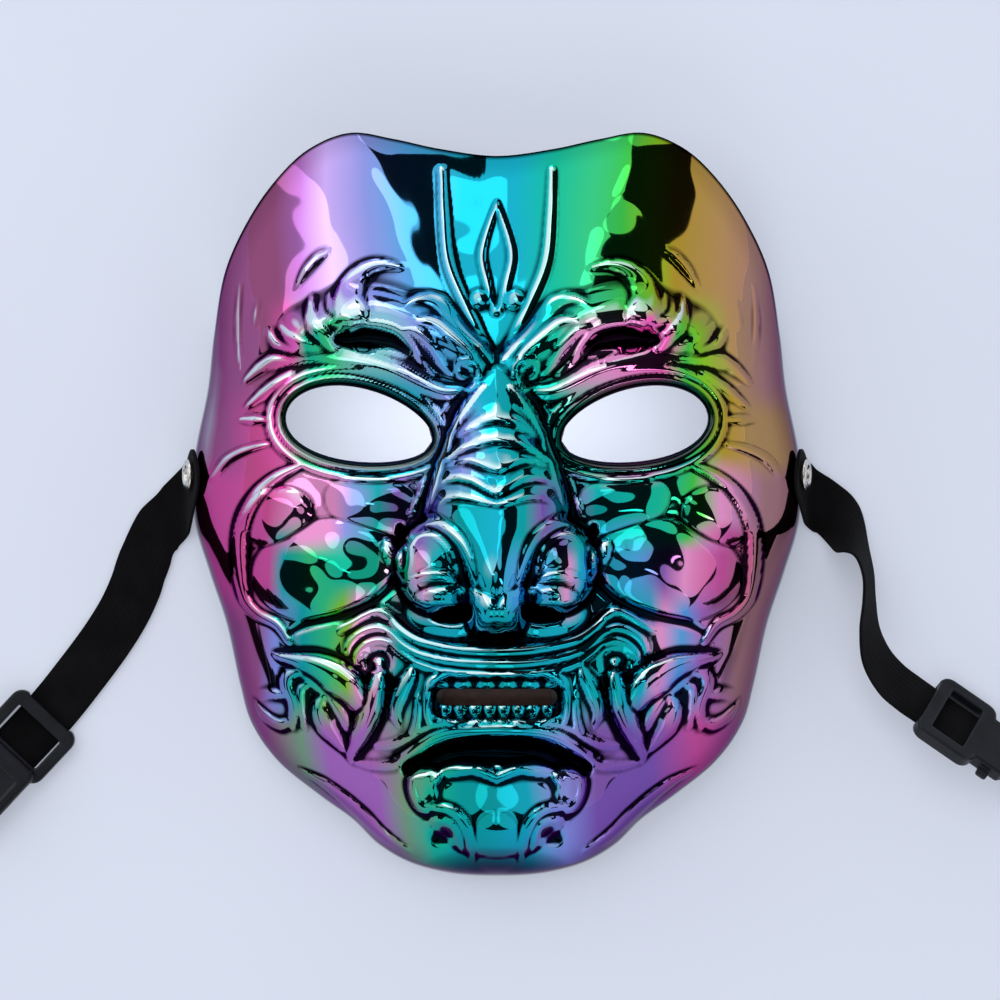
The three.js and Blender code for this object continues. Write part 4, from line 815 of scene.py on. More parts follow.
# %% Turning borders down and closing them
def finish_borders(obj):
    """Turns all borders down, and gives the material number of each face: plated or black."""
    plated = len(obj.data.polygons)
    turn_rim(obj)
    for curve in openings().values():
        turn_opening(obj, curve)
    print(obj.name, "has", len(obj.data.polygons) - plated, "faces in its edges")
    return (np.arange(len(obj.data.polygons)) >= plated).astype(int)


def close_borders(obj):
    """Bridges each border of the outside to the border of the inside beside it."""
    for name, curve in {"rim": None, **openings()}.items():
        places = read_places(obj) / MM
        near = inset_from_rim(places) < RIM_ZONE if curve is None else near_curve(places, curve, 1)
        before = len(obj.data.polygons)
        edit_border(obj, near)
        bpy.ops.mesh.bridge_edge_loops()
        bpy.ops.object.mode_set(mode="OBJECT")
        print(name, "closed with", len(obj.data.polygons) - before, "faces")
    print("open edges left:", int(border_edges(obj)[0].sum()))


# %% [markdown]
# ## Two skins
# Each skin starts as a square grid. Its edge is laid on the rim and every vertex is lifted to
# the height at its place, which keeps the faces even and square everywhere. A lathe or a sphere
# would crowd them at a pole, right on the nose. The outer grid is dense, because a mirror shows
# the smallest flat spot, and its steps are closer in the middle, where the carving is finest.
#
# The script also writes down, at each vertex, how far it stands over its surroundings. The
# plating reads that to paint shade into creases and highlights onto ridges.

# %% Outer skin
FACE_COLUMNS, FACE_ROWS = 262, 322
SOFTEN_ROUNDS = 2
RELIEF_ROUNDS = {"fine_relief": 8, "broad_relief": 50}
# Painted shade over the chin, next to the rim
CHIN_SHADE = dict(at=[0, -120], size=[26, 11], turn=0, high=0.92, edge=0.7)


def dense_middle(share):
    """Spreads even steps so that they lie closer in the middle of the face."""
    return np.sign(share) * (0.78 * np.abs(share) + 0.22 * np.abs(share) ** 3)


def softened(heights, rounds):
    """Heights on the grid, eased a little so that plated creases don't sparkle."""
    for _ in range(rounds):
        padded = np.pad(heights, 1, mode="edge")
        around = padded[:-2, 1:-1] + padded[2:, 1:-1] + padded[1:-1, :-2] + padded[1:-1, 2:]
        heights = heights * 0.5 + around * 0.125
    return heights


def cut_edge_and_painted_shade(x, y):
    """Painted shade, near black by the eye openings and the rim, darker at the chin, 1 further away."""
    away = np.full(x.shape, 9.0)
    near = (np.abs(np.abs(x) - EYE["at"][0]) < 32) & (np.abs(y - EYE["at"][1]) < 22)
    away[near] = curve_distance(eye_curve(72), np.abs(x[near]), y[near])[0]
    inset = rim_radius(np.arctan2(np.abs(x), y)) - np.hypot(x, y)
    # A thin near black line for the rim's unplated cut edge, then painted shade over the last 9 mm
    rim = mix(0.02, 0.78, smooth(inset, 0.4, 1.2)) + 0.22 * smooth(inset, 1, 9)
    # Painted shade over the chin
    chin = 1 - swell_height(x, y, **CHIN_SHADE)
    # Painted shade beside the eye openings
    return mix(0.06, 1, smooth(away, 1.5, 3)) * rim * chin


# %% Outer face
def keep_values(obj, name, values):
    obj.data.attributes.new(name, "FLOAT", "POINT").data.foreach_set("value", values)
    print(name, "from", values.min().round(2), "to", values.max().round(2))


def outer_face():
    """The plated face, with its openings cut."""
    obj = grid_object("mask_face", FACE_COLUMNS, FACE_ROWS)
    square = read_places(obj)
    x, y = rim_place(dense_middle(square[:, 0]), dense_middle(square[:, 1]))
    order = np.lexsort((square[:, 0].round(6), square[:, 1].round(6)))
    heights = outer_height(x, y)
    table = heights[order].reshape(FACE_ROWS + 1, FACE_COLUMNS + 1)
    eased = softened(table, SOFTEN_ROUNDS)
    eased[0], eased[-1], eased[:, 0], eased[:, -1] = table[0], table[-1], table[:, 0], table[:, -1]
    heights[order] = eased.ravel()
    write_places(obj, np.stack([x, y, heights], 1))
    # Relief at each vertex, which the plating reads for its painted crease shade and ridge highlights
    for name, rounds in RELIEF_ROUNDS.items():
        relief = np.zeros(len(heights))
        relief[order] = (eased - softened(eased, rounds)).ravel()
        keep_values(obj, name, relief)
    # Painted shade by the eye openings, the rim and the chin, with a thin black line for the rim's cut edge
    keep_values(obj, "cut_edge_and_painted_shade", cut_edge_and_painted_shade(x, y))
    cut_openings(obj, outer_height)
    return obj


# %% Inner skin
INSIDE_COLUMNS, INSIDE_ROWS = 72, 88
INSIDE_SHARE = 0.9875
INSIDE_GAP = 0.02


def inner_face():
    """The inside of the shell, plainer than the face, with its faces turned to the inside."""
    obj = grid_object("mask_inside", INSIDE_COLUMNS, INSIDE_ROWS)
    square = read_places(obj)
    x, y = rim_place(square[:, 0] * INSIDE_SHARE, square[:, 1] * INSIDE_SHARE)
    radius = np.hypot(x, y)
    most = rim_radius(np.arctan2(np.abs(x), y)) - WALL - INSIDE_GAP
    pull = np.minimum(1, most / np.maximum(radius, 1e-6))
    x, y = x * pull, y * pull
    write_places(obj, np.stack([x, y, inner_height(x, y)], 1))
    cut_openings(obj, inner_height)
    edit_all(obj, bpy.ops.mesh.flip_normals)
    print(obj.name, "has", len(obj.data.polygons), "faces")
    return obj


# %% [markdown]
# ## Camera
# The mask lies on the floor and the camera looks straight down on it from two metres, with a
# long lens, so the sides of the mask hardly lean. A short lens nearby would widen the nose.

# %% Camera
CAMERA_PLACE = (0.001, 0.0023, 2.0)
LENS, SENSOR = 221, 36


def add_camera():
    deselect()
    bpy.ops.object.camera_add(location=CAMERA_PLACE, rotation=(0, 0, 0))
    camera = bpy.context.object
    camera.name = "camera"
    camera.data.lens = LENS
    camera.data.sensor_width = SENSOR
    bpy.context.scene.camera = camera
    print("camera", tuple(round(v, 4) for v in camera.location), camera.data.lens)


add_camera()

# %% [markdown]
# ## Helpers for materials
# A finish is a small tree of nodes. Wiring it by hand in the shader editor is pleasant, and in
# code a few helpers keep it as short: add a node, do a sum, pick from a ramp, mix two colours.

# %% Nodes
def plain_tree(name):
    """A material with only its shader and output left, and what is needed to add to it."""
    material = bpy.data.materials.new(name)
    material.use_nodes = True
    tree = material.node_tree
    print("material", name)
    return material, tree, tree.nodes["Principled BSDF"]


def feed(tree, node, **sockets):
    """Joins each named socket of a node to the socket given for it, or sets it to the value."""
    for key, value in sockets.items():
        socket = node.inputs[int(key[1:]) if key[1:].isdigit() else key.replace("_", " ")]
        if isinstance(value, bpy.types.NodeSocket):
            tree.links.new(value, socket)
        else:
            socket.default_value = value


def add_node(tree, kind, settings=None, **sockets):
    node = tree.nodes.new(kind)
    for key, value in (settings or {}).items():
        setattr(node, key, value)
    feed(tree, node, **sockets)
    return node


def object_place(tree):
    return add_node(tree, "ShaderNodeTexCoord").outputs["Object"]


def attribute(tree, name):
    return add_node(tree, "ShaderNodeAttribute", dict(attribute_name=name)).outputs


# %% Sums, ramps, mixes and bumps
def math_node(tree, operation, a, b=0.0, c=0.0, clamp=False):
    settings = dict(operation=operation, use_clamp=clamp)
    return add_node(tree, "ShaderNodeMath", settings, i0=a, i1=b, i2=c).outputs[0]


def spread(tree, value, low, high):
    """A value from 0 to 1 spread over another range."""
    node = add_node(tree, "ShaderNodeMapRange", None, Value=value, To_Min=low, To_Max=high)
    return node.outputs["Result"]


def ramp_node(tree, value, stops, smooth_steps=False):
    node = add_node(tree, "ShaderNodeValToRGB", None, Fac=value)
    ramp = node.color_ramp
    ramp.interpolation = "EASE" if smooth_steps else "LINEAR"
    while len(ramp.elements) > 1:
        ramp.elements.remove(ramp.elements[-1])
    ramp.elements[0].position = stops[0][0]
    ramp.elements[0].color = (*stops[0][1], 1)
    for place, colour in stops[1:]:
        ramp.elements.new(place).color = (*colour, 1)
    return node.outputs["Color"]


def mix_colours(tree, share, a, b, blend="MIX"):
    settings = dict(data_type="RGBA", blend_type=blend)
    return add_node(tree, "ShaderNodeMix", settings, i0=share, i6=a, i7=b).outputs[2]


def bump_node(tree, height, strength, distance):
    settings = dict(Strength=strength, Distance=distance, Height=height)
    return add_node(tree, "ShaderNodeBump", None, **settings).outputs["Normal"]


# %% [markdown]
# ## Grain
# No real surface is the same all over: steel is rubbed, plastic has a fine texture, a floor
# drifts in tone. One node group makes that unevenness for all of them, and each material puts it
# in with its own size and its own two colours.

# %% Grain group
def new_group(name, inputs, outputs):
    """A node group with sockets of the given kinds, and the sockets that its inputs come from."""
    group = bpy.data.node_groups.new(name, "ShaderNodeTree")
    for way, sockets in (("INPUT", inputs), ("OUTPUT", outputs)):
        for socket, kind in sockets.items():
            group.interface.new_socket(socket, in_out=way, socket_type="NodeSocket" + kind)
    return group, group.nodes.new("NodeGroupInput").outputs


def close_group(group, **results):
    end = group.nodes.new("NodeGroupOutput")
    for name, result in results.items():
        group.links.new(result, end.inputs[name])
    print("node group", group.name, [item.name for item in group.interface.items_tree])
    return group


def grain_group():
    """An uneven surface: a colour that drifts from a dark to a light one, and the grain's height."""
    inputs = dict(Place="Vector", Scale="Float", Detail="Float", Dark="Color", Light="Color")
    group, start = new_group("grain", inputs, dict(Color="Color", Height="Float"))
    noise = add_node(group, "ShaderNodeTexNoise", None, Vector=start["Place"], Scale=start["Scale"],
                     Detail=start["Detail"]).outputs["Fac"]
    share = add_node(group, "ShaderNodeMapRange", None, Value=noise, From_Min=0.3, From_Max=0.7)
    colour = mix_colours(group, share.outputs["Result"], start["Dark"], start["Light"])
    return close_group(group, Color=colour, Height=noise)


GRAIN = grain_group()


def add_grain(tree, place, scale, detail=3.0, dark=(0, 0, 0), light=(1, 1, 1)):
    settings = dict(Scale=scale, Detail=detail, Dark=(*dark, 1), Light=(*light, 1))
    return add_node(tree, "ShaderNodeGroup", dict(node_tree=GRAIN), Place=place, **settings).outputs


# %% [markdown]
# ## Floor
# A studio sets such a mask on a seamless pale board. A plain grid does for it. It gives off a
# little light of its own, as a board does that is lit from below, so shadows on it stay soft.

# %% Floor
def floor_material():
    material, tree, shader = plain_tree("pale_floor")
    colours = dict(dark=(0.52, 0.56, 0.66), light=(0.55, 0.59, 0.69))
    colour = add_grain(tree, object_place(tree), 3.0, **colours)["Color"]
    feed(tree, shader, Base_Color=colour, Emission_Color=colour, Emission_Strength=0.47, Roughness=0.8)
    return material


def add_floor():
    deselect()
    bpy.ops.mesh.primitive_grid_add(x_subdivisions=8, y_subdivisions=8, size=7)
    floor = bpy.context.object
    floor.name = "floor"
    floor.data.materials.append(floor_material())
    floor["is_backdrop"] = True
    print("floor", tuple(round(v, 2) for v in floor.dimensions))


add_floor()

# %% [markdown]
# ## Light
# A plated surface shows its surroundings, so the lights are the picture on it. Large panels hang
# round the mask with dark gaps between them, and the gaps are the black bars and patches that
# run over the plating. A picture of a studio wrapped round the scene would do the same, but
# panels can be moved one at a time until each reflection lies where it should. All but one are
# round, because a round one leaves no corners in the plating.

# %% Panels
AWAY = 2.2


def add_panel(name, azimuth, elevation, wide, high, glow, shape="ELLIPSE"):
    """A soft panel on a ball round the mask, facing it. Azimuth runs from +X towards +Y, and wide
    and high are the degrees it fills as the mask sees it."""
    a, e = math.radians(azimuth), math.radians(elevation)
    place = Vector((math.cos(a) * math.cos(e), math.sin(a) * math.cos(e), math.sin(e))) * AWAY
    deselect()
    bpy.ops.object.light_add(type="AREA", location=place)
    panel = bpy.context.object
    panel.name = name
    panel.rotation_euler = place.to_track_quat("Z", "Y").to_euler()
    panel.data.shape = shape
    panel.data.size = 2 * AWAY * math.tan(math.radians(wide) / 2)
    panel.data.size_y = 2 * AWAY * math.tan(math.radians(high) / 2)
    area = panel.data.size * panel.data.size_y * (math.pi / 4 if shape == "ELLIPSE" else 1)
    panel.data.energy = glow * math.pi * area


PANELS = {
    "top": dict(azimuth=126, elevation=36, wide=65, high=72, glow=1.05, shape="RECTANGLE"),
    "over": dict(azimuth=84, elevation=54, wide=12, high=12, glow=1),
    "over_nose": dict(azimuth=56, elevation=66, wide=26, high=14, glow=0.85),
    "top_low": dict(azimuth=74, elevation=16, wide=40, high=34, glow=0.85),
    "low": dict(azimuth=270, elevation=40, wide=22, high=50, glow=0.7),
    "right": dict(azimuth=10, elevation=20, wide=80, high=44, glow=0.85),
    "left": dict(azimuth=177, elevation=27, wide=50, high=60, glow=0.72),
    "lower_left": dict(azimuth=238, elevation=28, wide=50, high=62, glow=0.75),
    "bright_top": dict(azimuth=104, elevation=14, wide=38, high=14, glow=1.6),
    "lower_right": dict(azimuth=302, elevation=28, wide=52, high=60, glow=0.8),
    "overhead": dict(azimuth=200, elevation=80, wide=22, high=30, glow=0.6),
    "strip_left": dict(azimuth=176, elevation=66, wide=3, high=16, glow=2.2),
    "strip_right": dict(azimuth=338, elevation=54, wide=5, high=30, glow=2.6),
}
for name, facts in PANELS.items():
    add_panel(name, **facts)
print("panels", len(PANELS))

# %% Fill, light through the eyes and dark room
FILL = dict(place=(-0.3, 1.2, 2.6), size=2.5, energy=12)
UNDER = dict(place=(0, 0.03, 0.036), wide=0.13, high=0.05, energy=0.036)
ROOM_COLOUR = (0.012, 0.014, 0.018, 1)


def add_fill():
    """A wide light high behind the forehead, for the floor and the black pieces. The plating
    doesn't mirror it."""
    deselect()
    bpy.ops.object.light_add(type="AREA", location=FILL["place"])
    fill = bpy.context.object
    fill.name = "fill"
    fill.rotation_euler = fill.location.to_track_quat("Z", "Y").to_euler()
    fill.data.size = FILL["size"]
    fill.data.energy = FILL["energy"]
    fill.visible_glossy = False


def add_light_under_mask():
    """Keeps the floor bright where the eye openings show it."""
    deselect()
    bpy.ops.object.light_add(type="AREA", location=UNDER["place"])
    light = bpy.context.object
    light.name = "under_mask"
    light.data.shape = "ELLIPSE"
    light.data.size = UNDER["wide"]
    light.data.size_y = UNDER["high"]
    light.data.energy = UNDER["energy"]
    light.visible_glossy = False
    light.visible_camera = False


def dark_room():
    world = bpy.data.worlds.new("room")
    world.use_nodes = True
    world.node_tree.nodes["Background"].inputs["Color"].default_value = ROOM_COLOUR
    bpy.context.scene.world = world
    bpy.context.scene.view_settings.view_transform = "Standard"


add_fill()
add_light_under_mask()
dark_room()

# %% [markdown]
# ## Plating
# The real mask is plated with a thin metal film, whose colour changes with its thickness and
# with the angle. So the colours flow over the face in broad bands, and each roll shifts them a
# little because the surface turns there. Painting an image would fix them, but it would blur
# close up. Here seven rows of named colours run across the face, one over the other.

# %% Colours and rows
PLUM = (0.36, 0.10, 0.25)
PINK = (0.64, 0.09, 0.32)
HOT_PINK = (0.90, 0.12, 0.50)
ROSE = (0.80, 0.30, 0.62)
VIOLET = (0.22, 0.10, 0.42)
PERIWINKLE = (0.26, 0.30, 0.74)
SKY = (0.08, 0.36, 0.74)
CYAN = (0.01, 0.42, 0.58)
TEAL = (0.005, 0.38, 0.40)
TURQUOISE = (0.01, 0.50, 0.33)
SEA = (0.04, 0.56, 0.22)
GREEN = (0.05, 0.55, 0.07)
LIME = (0.24, 0.56, 0.02)
GOLD = (0.44, 0.29, 0.03)
TAN = (0.47, 0.28, 0.11)
MAUVE = (0.41, 0.20, 0.20)
ORCHID = (0.42, 0.15, 0.50)
LILAC = (0.58, 0.40, 0.88)
FROST = (0.22, 0.56, 0.60)
MOSS = (0.20, 0.36, 0.22)

# Colours across the face in seven rows, as shares of its width
FOREHEAD = [(0.02, PLUM), (0.12, PLUM), (0.165, ORCHID), (0.215, LILAC), (0.29, PERIWINKLE),
            (0.37, SKY), (0.46, CYAN), (0.54, CYAN), (0.60, TURQUOISE), (0.66, SEA), (0.72, GREEN),
            (0.77, LIME), (0.81, GOLD), (0.89, TAN), (0.98, MAUVE)]
BROWS = [(0.03, PLUM), (0.09, PLUM), (0.135, HOT_PINK), (0.17, TURQUOISE), (0.21, SEA), (0.26, FROST),
         (0.31, FROST), (0.36, PERIWINKLE), (0.41, SKY), (0.47, CYAN), (0.54, TEAL), (0.60, TURQUOISE),
         (0.65, ROSE), (0.70, ROSE), (0.77, HOT_PINK), (0.81, GREEN), (0.85, LIME), (0.91, TAN),
         (0.98, MAUVE)]
EYES = [(0.02, PLUM), (0.07, PINK), (0.13, HOT_PINK), (0.17, SEA), (0.24, TEAL), (0.36, CYAN),
        (0.42, PERIWINKLE), (0.48, CYAN), (0.56, TEAL), (0.66, TURQUOISE), (0.72, ROSE), (0.79, TEAL),
        (0.84, GREEN), (0.89, GOLD), (0.95, TAN)]
UPPER_CHEEKS = [(0.03, PINK), (0.09, PINK), (0.15, ROSE), (0.21, ROSE), (0.25, PERIWINKLE),
                (0.31, TEAL), (0.35, VIOLET), (0.41, TEAL), (0.49, CYAN), (0.57, TEAL), (0.61, VIOLET),
                (0.66, TEAL), (0.78, TURQUOISE), (0.83, GREEN), (0.88, ROSE), (0.97, MAUVE)]
CHEEKS = [(0.04, PINK), (0.09, PINK), (0.12, TEAL), (0.18, SEA), (0.23, TURQUOISE), (0.31, TURQUOISE),
          (0.345, ROSE), (0.385, TEAL), (0.48, CYAN), (0.56, SKY), (0.60, TEAL), (0.635, ROSE),
          (0.665, CYAN), (0.73, SKY), (0.79, VIOLET), (0.83, ROSE), (0.90, PINK), (0.97, MAUVE)]
MOUTH = [(0.06, PLUM), (0.10, PERIWINKLE), (0.16, TEAL), (0.21, SEA), (0.24, LIME), (0.27, ROSE),
         (0.31, TEAL), (0.40, CYAN), (0.50, TEAL), (0.60, CYAN), (0.70, TEAL), (0.755, CYAN),
         (0.79, ROSE), (0.83, SKY), (0.87, ORCHID), (0.94, MAUVE)]
CHIN = [(0.08, PLUM), (0.16, MOSS), (0.21, ORCHID), (0.28, ORCHID), (0.33, MOSS), (0.38, TURQUOISE),
        (0.43, TEAL), (0.47, TEAL), (0.57, CYAN), (0.63, PERIWINKLE), (0.69, VIOLET), (0.78, VIOLET),
        (0.86, PINK), (0.94, PLUM)]
# The rows over the chin, and where up the face each takes over from the one below
UPPER_ROWS = ((MOUTH, 0.17, 0.24), (CHEEKS, 0.33, 0.39), (UPPER_CHEEKS, 0.43, 0.48),
              (EYES, 0.53, 0.58), (BROWS, 0.63, 0.68), (FOREHEAD, 0.74, 0.80))
print("rows of colours", 1 + len(UPPER_ROWS))

# %% Colour of the film
FACE_WIDE, FACE_TALL = 0.2, 0.24


def film_group():
    """Node group: the plating's colour from the place on the face and the way it faces."""
    inputs = dict(Place="Vector", Facing="Vector", Shift="Float")
    group, start = new_group("film_colour", inputs, dict(Color="Color"))
    drift = add_node(group, "ShaderNodeTexNoise", None, Vector=start["Place"], Scale=14.0, Detail=1.0)
    drifts = add_node(group, "ShaderNodeSeparateXYZ", None, Vector=drift.outputs["Color"]).outputs
    place = add_node(group, "ShaderNodeSeparateXYZ", None, Vector=start["Place"]).outputs
    facing = add_node(group, "ShaderNodeSeparateXYZ", None, Vector=start["Facing"]).outputs

    def band(axis, length, drifted):
        """A share across the face, moved by the drift and by the way the surface faces."""
        turned = math_node(group, "MULTIPLY", facing[axis], start["Shift"])
        share = math_node(group, "MULTIPLY_ADD", place[axis], 1 / length, 0.5)
        moved = math_node(group, "MULTIPLY_ADD", drifts[axis], drifted, -drifted / 2)
        return math_node(group, "ADD", math_node(group, "ADD", share, turned), moved, clamp=True)

    across, up = band(0, FACE_WIDE, 0.08), band(1, FACE_TALL, 0.06)
    colour = ramp_node(group, across, CHIN)
    for row, low, high in UPPER_ROWS:
        share = ramp_node(group, up, [(low, (0, 0, 0)), (high, (1, 1, 1))], smooth_steps=True)
        colour = mix_colours(group, share, colour, ramp_node(group, across, row))
    return close_group(group, Color=colour)


# %% [markdown]
# ## Creases and ridges
# In a mirror a crease shows as a dark line and a ridge as a bright one. Real reflections give
# most of that, but the finest creases are narrower than a reflection. The relief that was
# written down at each vertex makes up for it with painted shade and painted highlights: low
# places are painted darker, and ridges that face the forehead's lamps are painted paler.

# %% Painted shade in creases and painted highlights on ridges
# Relief reach for the painted crease shade, and the way, colour and share of the painted ridge highlight
FINE_REACH, BROAD_REACH = 0.42, 3.0
LIT_WAY = (-0.35, 0.75, 0.5)
PAINTED_HIGHLIGHT_COLOUR = (0.80, 0.98, 1, 1)
PAINTED_HIGHLIGHT_SHARE = 0.8


def painted_shade_and_highlight_group():
    """Node group: painted shade in the creases, and painted highlights on ridges that face the lamps."""
    inputs = dict(Fine="Float", Broad="Float", Facing="Vector")
    group, start = new_group("painted_crease_shade_and_ridge_highlight", inputs, dict(Shade="Color", Pale="Float"))

    def share_of(socket, reach):
        """A share from 0 to 1 for a relief from -reach to reach, in millimetres."""
        node = add_node(group, "ShaderNodeMapRange", None, Value=socket, From_Min=-reach, From_Max=reach)
        return node.outputs["Result"]

    fine, broad = share_of(start["Fine"], FINE_REACH), share_of(start["Broad"], BROAD_REACH)
    # Painted shade: the finest creases near black, and broad hollows darker
    crease_shade_lines = ramp_node(group, fine, [(0.27, (0.02, 0.02, 0.03)), (0.46, (1, 1, 1))])
    hollow_shade = ramp_node(group, broad, [(0.05, (0.12, 0.12, 0.15)), (0.40, (1, 1, 1))])
    shade = mix_colours(group, 1.0, crease_shade_lines, hollow_shade, blend="MULTIPLY")
    # Painted highlight: ridges that face the forehead's lamps are mixed towards a pale colour
    ridge = ramp_node(group, fine, [(0.60, (0, 0, 0)), (0.74, (1, 1, 1))])
    facing = add_node(group, "ShaderNodeVectorMath", dict(operation="DOT_PRODUCT"), i0=start["Facing"],
                      i1=LIT_WAY)
    lit = add_node(group, "ShaderNodeMapRange", dict(interpolation_type="SMOOTHSTEP"),
                   Value=facing.outputs["Value"], From_Min=0.5, From_Max=0.8)
    pale = math_node(group, "MULTIPLY", math_node(group, "MULTIPLY", ridge, lit.outputs["Result"]),
                     PAINTED_HIGHLIGHT_SHARE)
    return close_group(group, Shade=shade, Pale=pale)


# %% Plating and black inside
FILM_SHIFT = 0.05


def plating_material():
    material, tree, shader = plain_tree("plating")
    place = object_place(tree)
    facing = add_node(tree, "ShaderNodeNewGeometry").outputs["Normal"]
    film = add_node(tree, "ShaderNodeGroup", dict(node_tree=film_group()), Place=place, Facing=facing,
                    Shift=FILM_SHIFT)
    relief = dict(Fine=attribute(tree, "fine_relief")["Fac"], Broad=attribute(tree, "broad_relief")["Fac"])
    tone = add_node(tree, "ShaderNodeGroup", dict(node_tree=painted_shade_and_highlight_group()), Facing=facing, **relief)
    # Painted highlight on ridges, then painted shade in creases and hollows
    colour = mix_colours(tree, tone.outputs["Pale"], film.outputs["Color"], PAINTED_HIGHLIGHT_COLOUR)
    colour = mix_colours(tree, 1.0, colour, tone.outputs["Shade"], blend="MULTIPLY")
    # Painted shade by the eye openings, the rim and the chin, with a thin black line for the rim's cut edge
    colour = mix_colours(tree, 1.0, colour, attribute(tree, "cut_edge_and_painted_shade")["Color"], blend="MULTIPLY")
    haze = add_grain(tree, place, 60.0)["Height"]
    feed(tree, shader, Base_Color=colour, Specular_Tint=(0.55, 0.45, 0.60, 1), Metallic=1.0,
         Roughness=spread(tree, haze, 0.03, 0.06))
    return material


def inside_material():
    material, tree, shader = plain_tree("black_inside")
    colours = dict(dark=(0.012, 0.012, 0.014), light=(0.02, 0.02, 0.023))
    grain = add_grain(tree, object_place(tree), 900.0, **colours)
    bump = bump_node(tree, grain["Height"], 0.12, 0.0002)
    feed(tree, shader, Base_Color=grain["Color"], Normal=bump, Roughness=0.42)
    return material


# %% [markdown]
# ## Face
# The two skins become one piece: the outer one with its turned edges is joined to the inner one,
# and the borders are bridged. Its edges and its inside are black, as the plating covers only the
# front of the real mask.

# %% Face
def build_face():
    face = outer_face()
    dark = finish_borders(face)
    inside = inner_face()
    face.data.polygons.foreach_set("material_index", dark)
    inside.data.polygons.foreach_set("material_index", np.ones(len(inside.data.polygons), int))
    for material in (plating_material(), inside_material()):
        face.data.materials.append(material)
        inside.data.materials.append(material)
    for obj in (face, inside):
        write_places(obj, read_places(obj) * MM)
    face = joined([face, inside])
    close_borders(face)
    bpy.ops.object.shade_smooth_by_angle(angle=math.radians(50))
    face.name = "mask_face"
    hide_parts("mask_shell")
    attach(face, "root")
    print("face", len(face.data.vertices), "vertices")


build_face()

# %% [markdown]
# ## Tube with rings
# Rivets and bands are both a tube whose rings can be laid anywhere: round a stem for a rivet,
# along a line for a band. Spin would turn a rivet as well, but it can't make a band. The tube
# starts as a cylinder, and its long edges are subdivided in edit mode to give it rings.

# %% Tube, and the last steps for every piece
def ringed_tube(name, sides, cuts):
    """A closed tube. Its long edges are subdivided once for each number in cuts."""
    deselect()
    bpy.ops.mesh.primitive_cylinder_add(vertices=sides, radius=1, depth=1, location=(0, 0, 0.5))
    bpy.ops.object.transform_apply(location=True)
    tube = bpy.context.object
    tube.name = tube.data.name = name
    for count in cuts:
        edit_chosen(tube, "EDGE", upright_edges(tube))
        bpy.ops.mesh.subdivide(number_cuts=count)
        bpy.ops.object.mode_set(mode="OBJECT")
    return tube


def ring_shares(tube):
    """Angle round the tube and share of its length for each vertex."""
    places = read_places(tube)
    return np.arctan2(places[:, 1], places[:, 0]), places[:, 2]


def finish_piece(obj, material, node, angle=40):
    """Gives a piece its material and its place in the frame."""
    make_active(obj)
    bpy.ops.object.shade_smooth_by_angle(angle=math.radians(angle))
    obj.data.materials.clear()
    obj.data.materials.append(material)
    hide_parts(node)
    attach(obj, "root")
    print(obj.name, len(obj.data.polygons), "faces")


# %% [markdown]
# ## Rivets
# An eyelet rivet holds each band end: a rolled steel ring with a dished middle. A torus and a
# disc would look like two things stuck together, so one profile runs from the foot inside the
# shell up the stem, out and over the rolled ring, and down into the dish. It is turned round the
# axis that stands on the side wall.

# %% Where the rivets stand
WALL_FROM, WALL_TO = 80.0, 98.4
HALVINGS = 40
SLOPE_STEP = 0.2
SEAT = 2 * GAP + BAND_THICK


def rivet_frame(side):
    """Place and directions of a rivet: forehead, across and out of the wall."""
    def height(x):
        return form_height(np.array([x]), np.array([RIVET_Y]))[0]

    low, high = WALL_FROM, WALL_TO
    for _ in range(HALVINGS):
        x = (low + high) / 2
        if height(x) > RIVET_Z:
            low = x
        else:
            high = x
    slope = (height(low + SLOPE_STEP) - height(low - SLOPE_STEP)) / (2 * SLOPE_STEP)
    out = np.array([-slope * side, 0, 1]) / math.hypot(slope, 1)
    forehead = np.array([0.0, 1, 0])
    return np.array([side * low, RIVET_Y, RIVET_Z]), forehead, np.cross(out, forehead), out


print("right rivet at", rivet_frame(1)[0].round(1), "mm, out of the wall", rivet_frame(1)[3].round(2))

# %% Steel and rivets
# Distance from the axis and height over the wall
RIVET_FOOT = [(0.02, -3.9), (4.1, -3.9), (4.4, -3.6), (4.5, -3.2), (4.4, -2.95), (2.0, -2.9)]
# The same for the head, with the height over the band
RIVET_RING = [(2.0, 0.45), (4.6, 0.45), (4.9, 0.6), (5.0, 0.85), (4.92, 1.2), (4.6, 1.55), (4.1, 1.78),
              (3.6, 1.8), (3.15, 1.6), (2.8, 1.2), (2.55, 0.7), (2.4, 0.3), (2.0, 0.12), (1.1, 0.2),
              (0.5, 0.38), (0.02, 0.42)]
RIVET_SIDES = 48


def steel_material():
    """Steel that is rubbed brighter in places."""
    material, tree, shader = plain_tree("rivet_steel")
    colours = dict(dark=(0.52, 0.50, 0.47), light=(0.80, 0.78, 0.74))
    rub = add_grain(tree, object_place(tree), 700.0, detail=4.0, **colours)
    feed(tree, shader, Base_Color=rub["Color"], Roughness=spread(tree, rub["Height"], 0.14, 0.34),
         Metallic=1.0)
    return material


def build_rivet(side, name, node):
    profile = np.array([*RIVET_FOOT, *((reach, SEAT + up) for reach, up in RIVET_RING)])
    tube = ringed_tube(name, RIVET_SIDES, [len(profile) - 2])
    angle, share = ring_shares(tube)
    at, forehead, across, out = rivet_frame(side)
    station = share * (len(profile) - 1)
    radius, height = (np.interp(station, np.arange(len(profile)), values) for values in profile.T)
    around = np.outer(np.cos(angle), forehead) + np.outer(np.sin(angle), across)
    write_places(tube, (at + around * radius[:, None] + np.outer(height, out)) * MM)
    finish_piece(tube, rivet_steel, node)


rivet_steel = steel_material()
build_rivet(-1, "rivet_left_eyelet", "rivet_left")
build_rivet(1, "rivet_right_eyelet", "rivet_right")

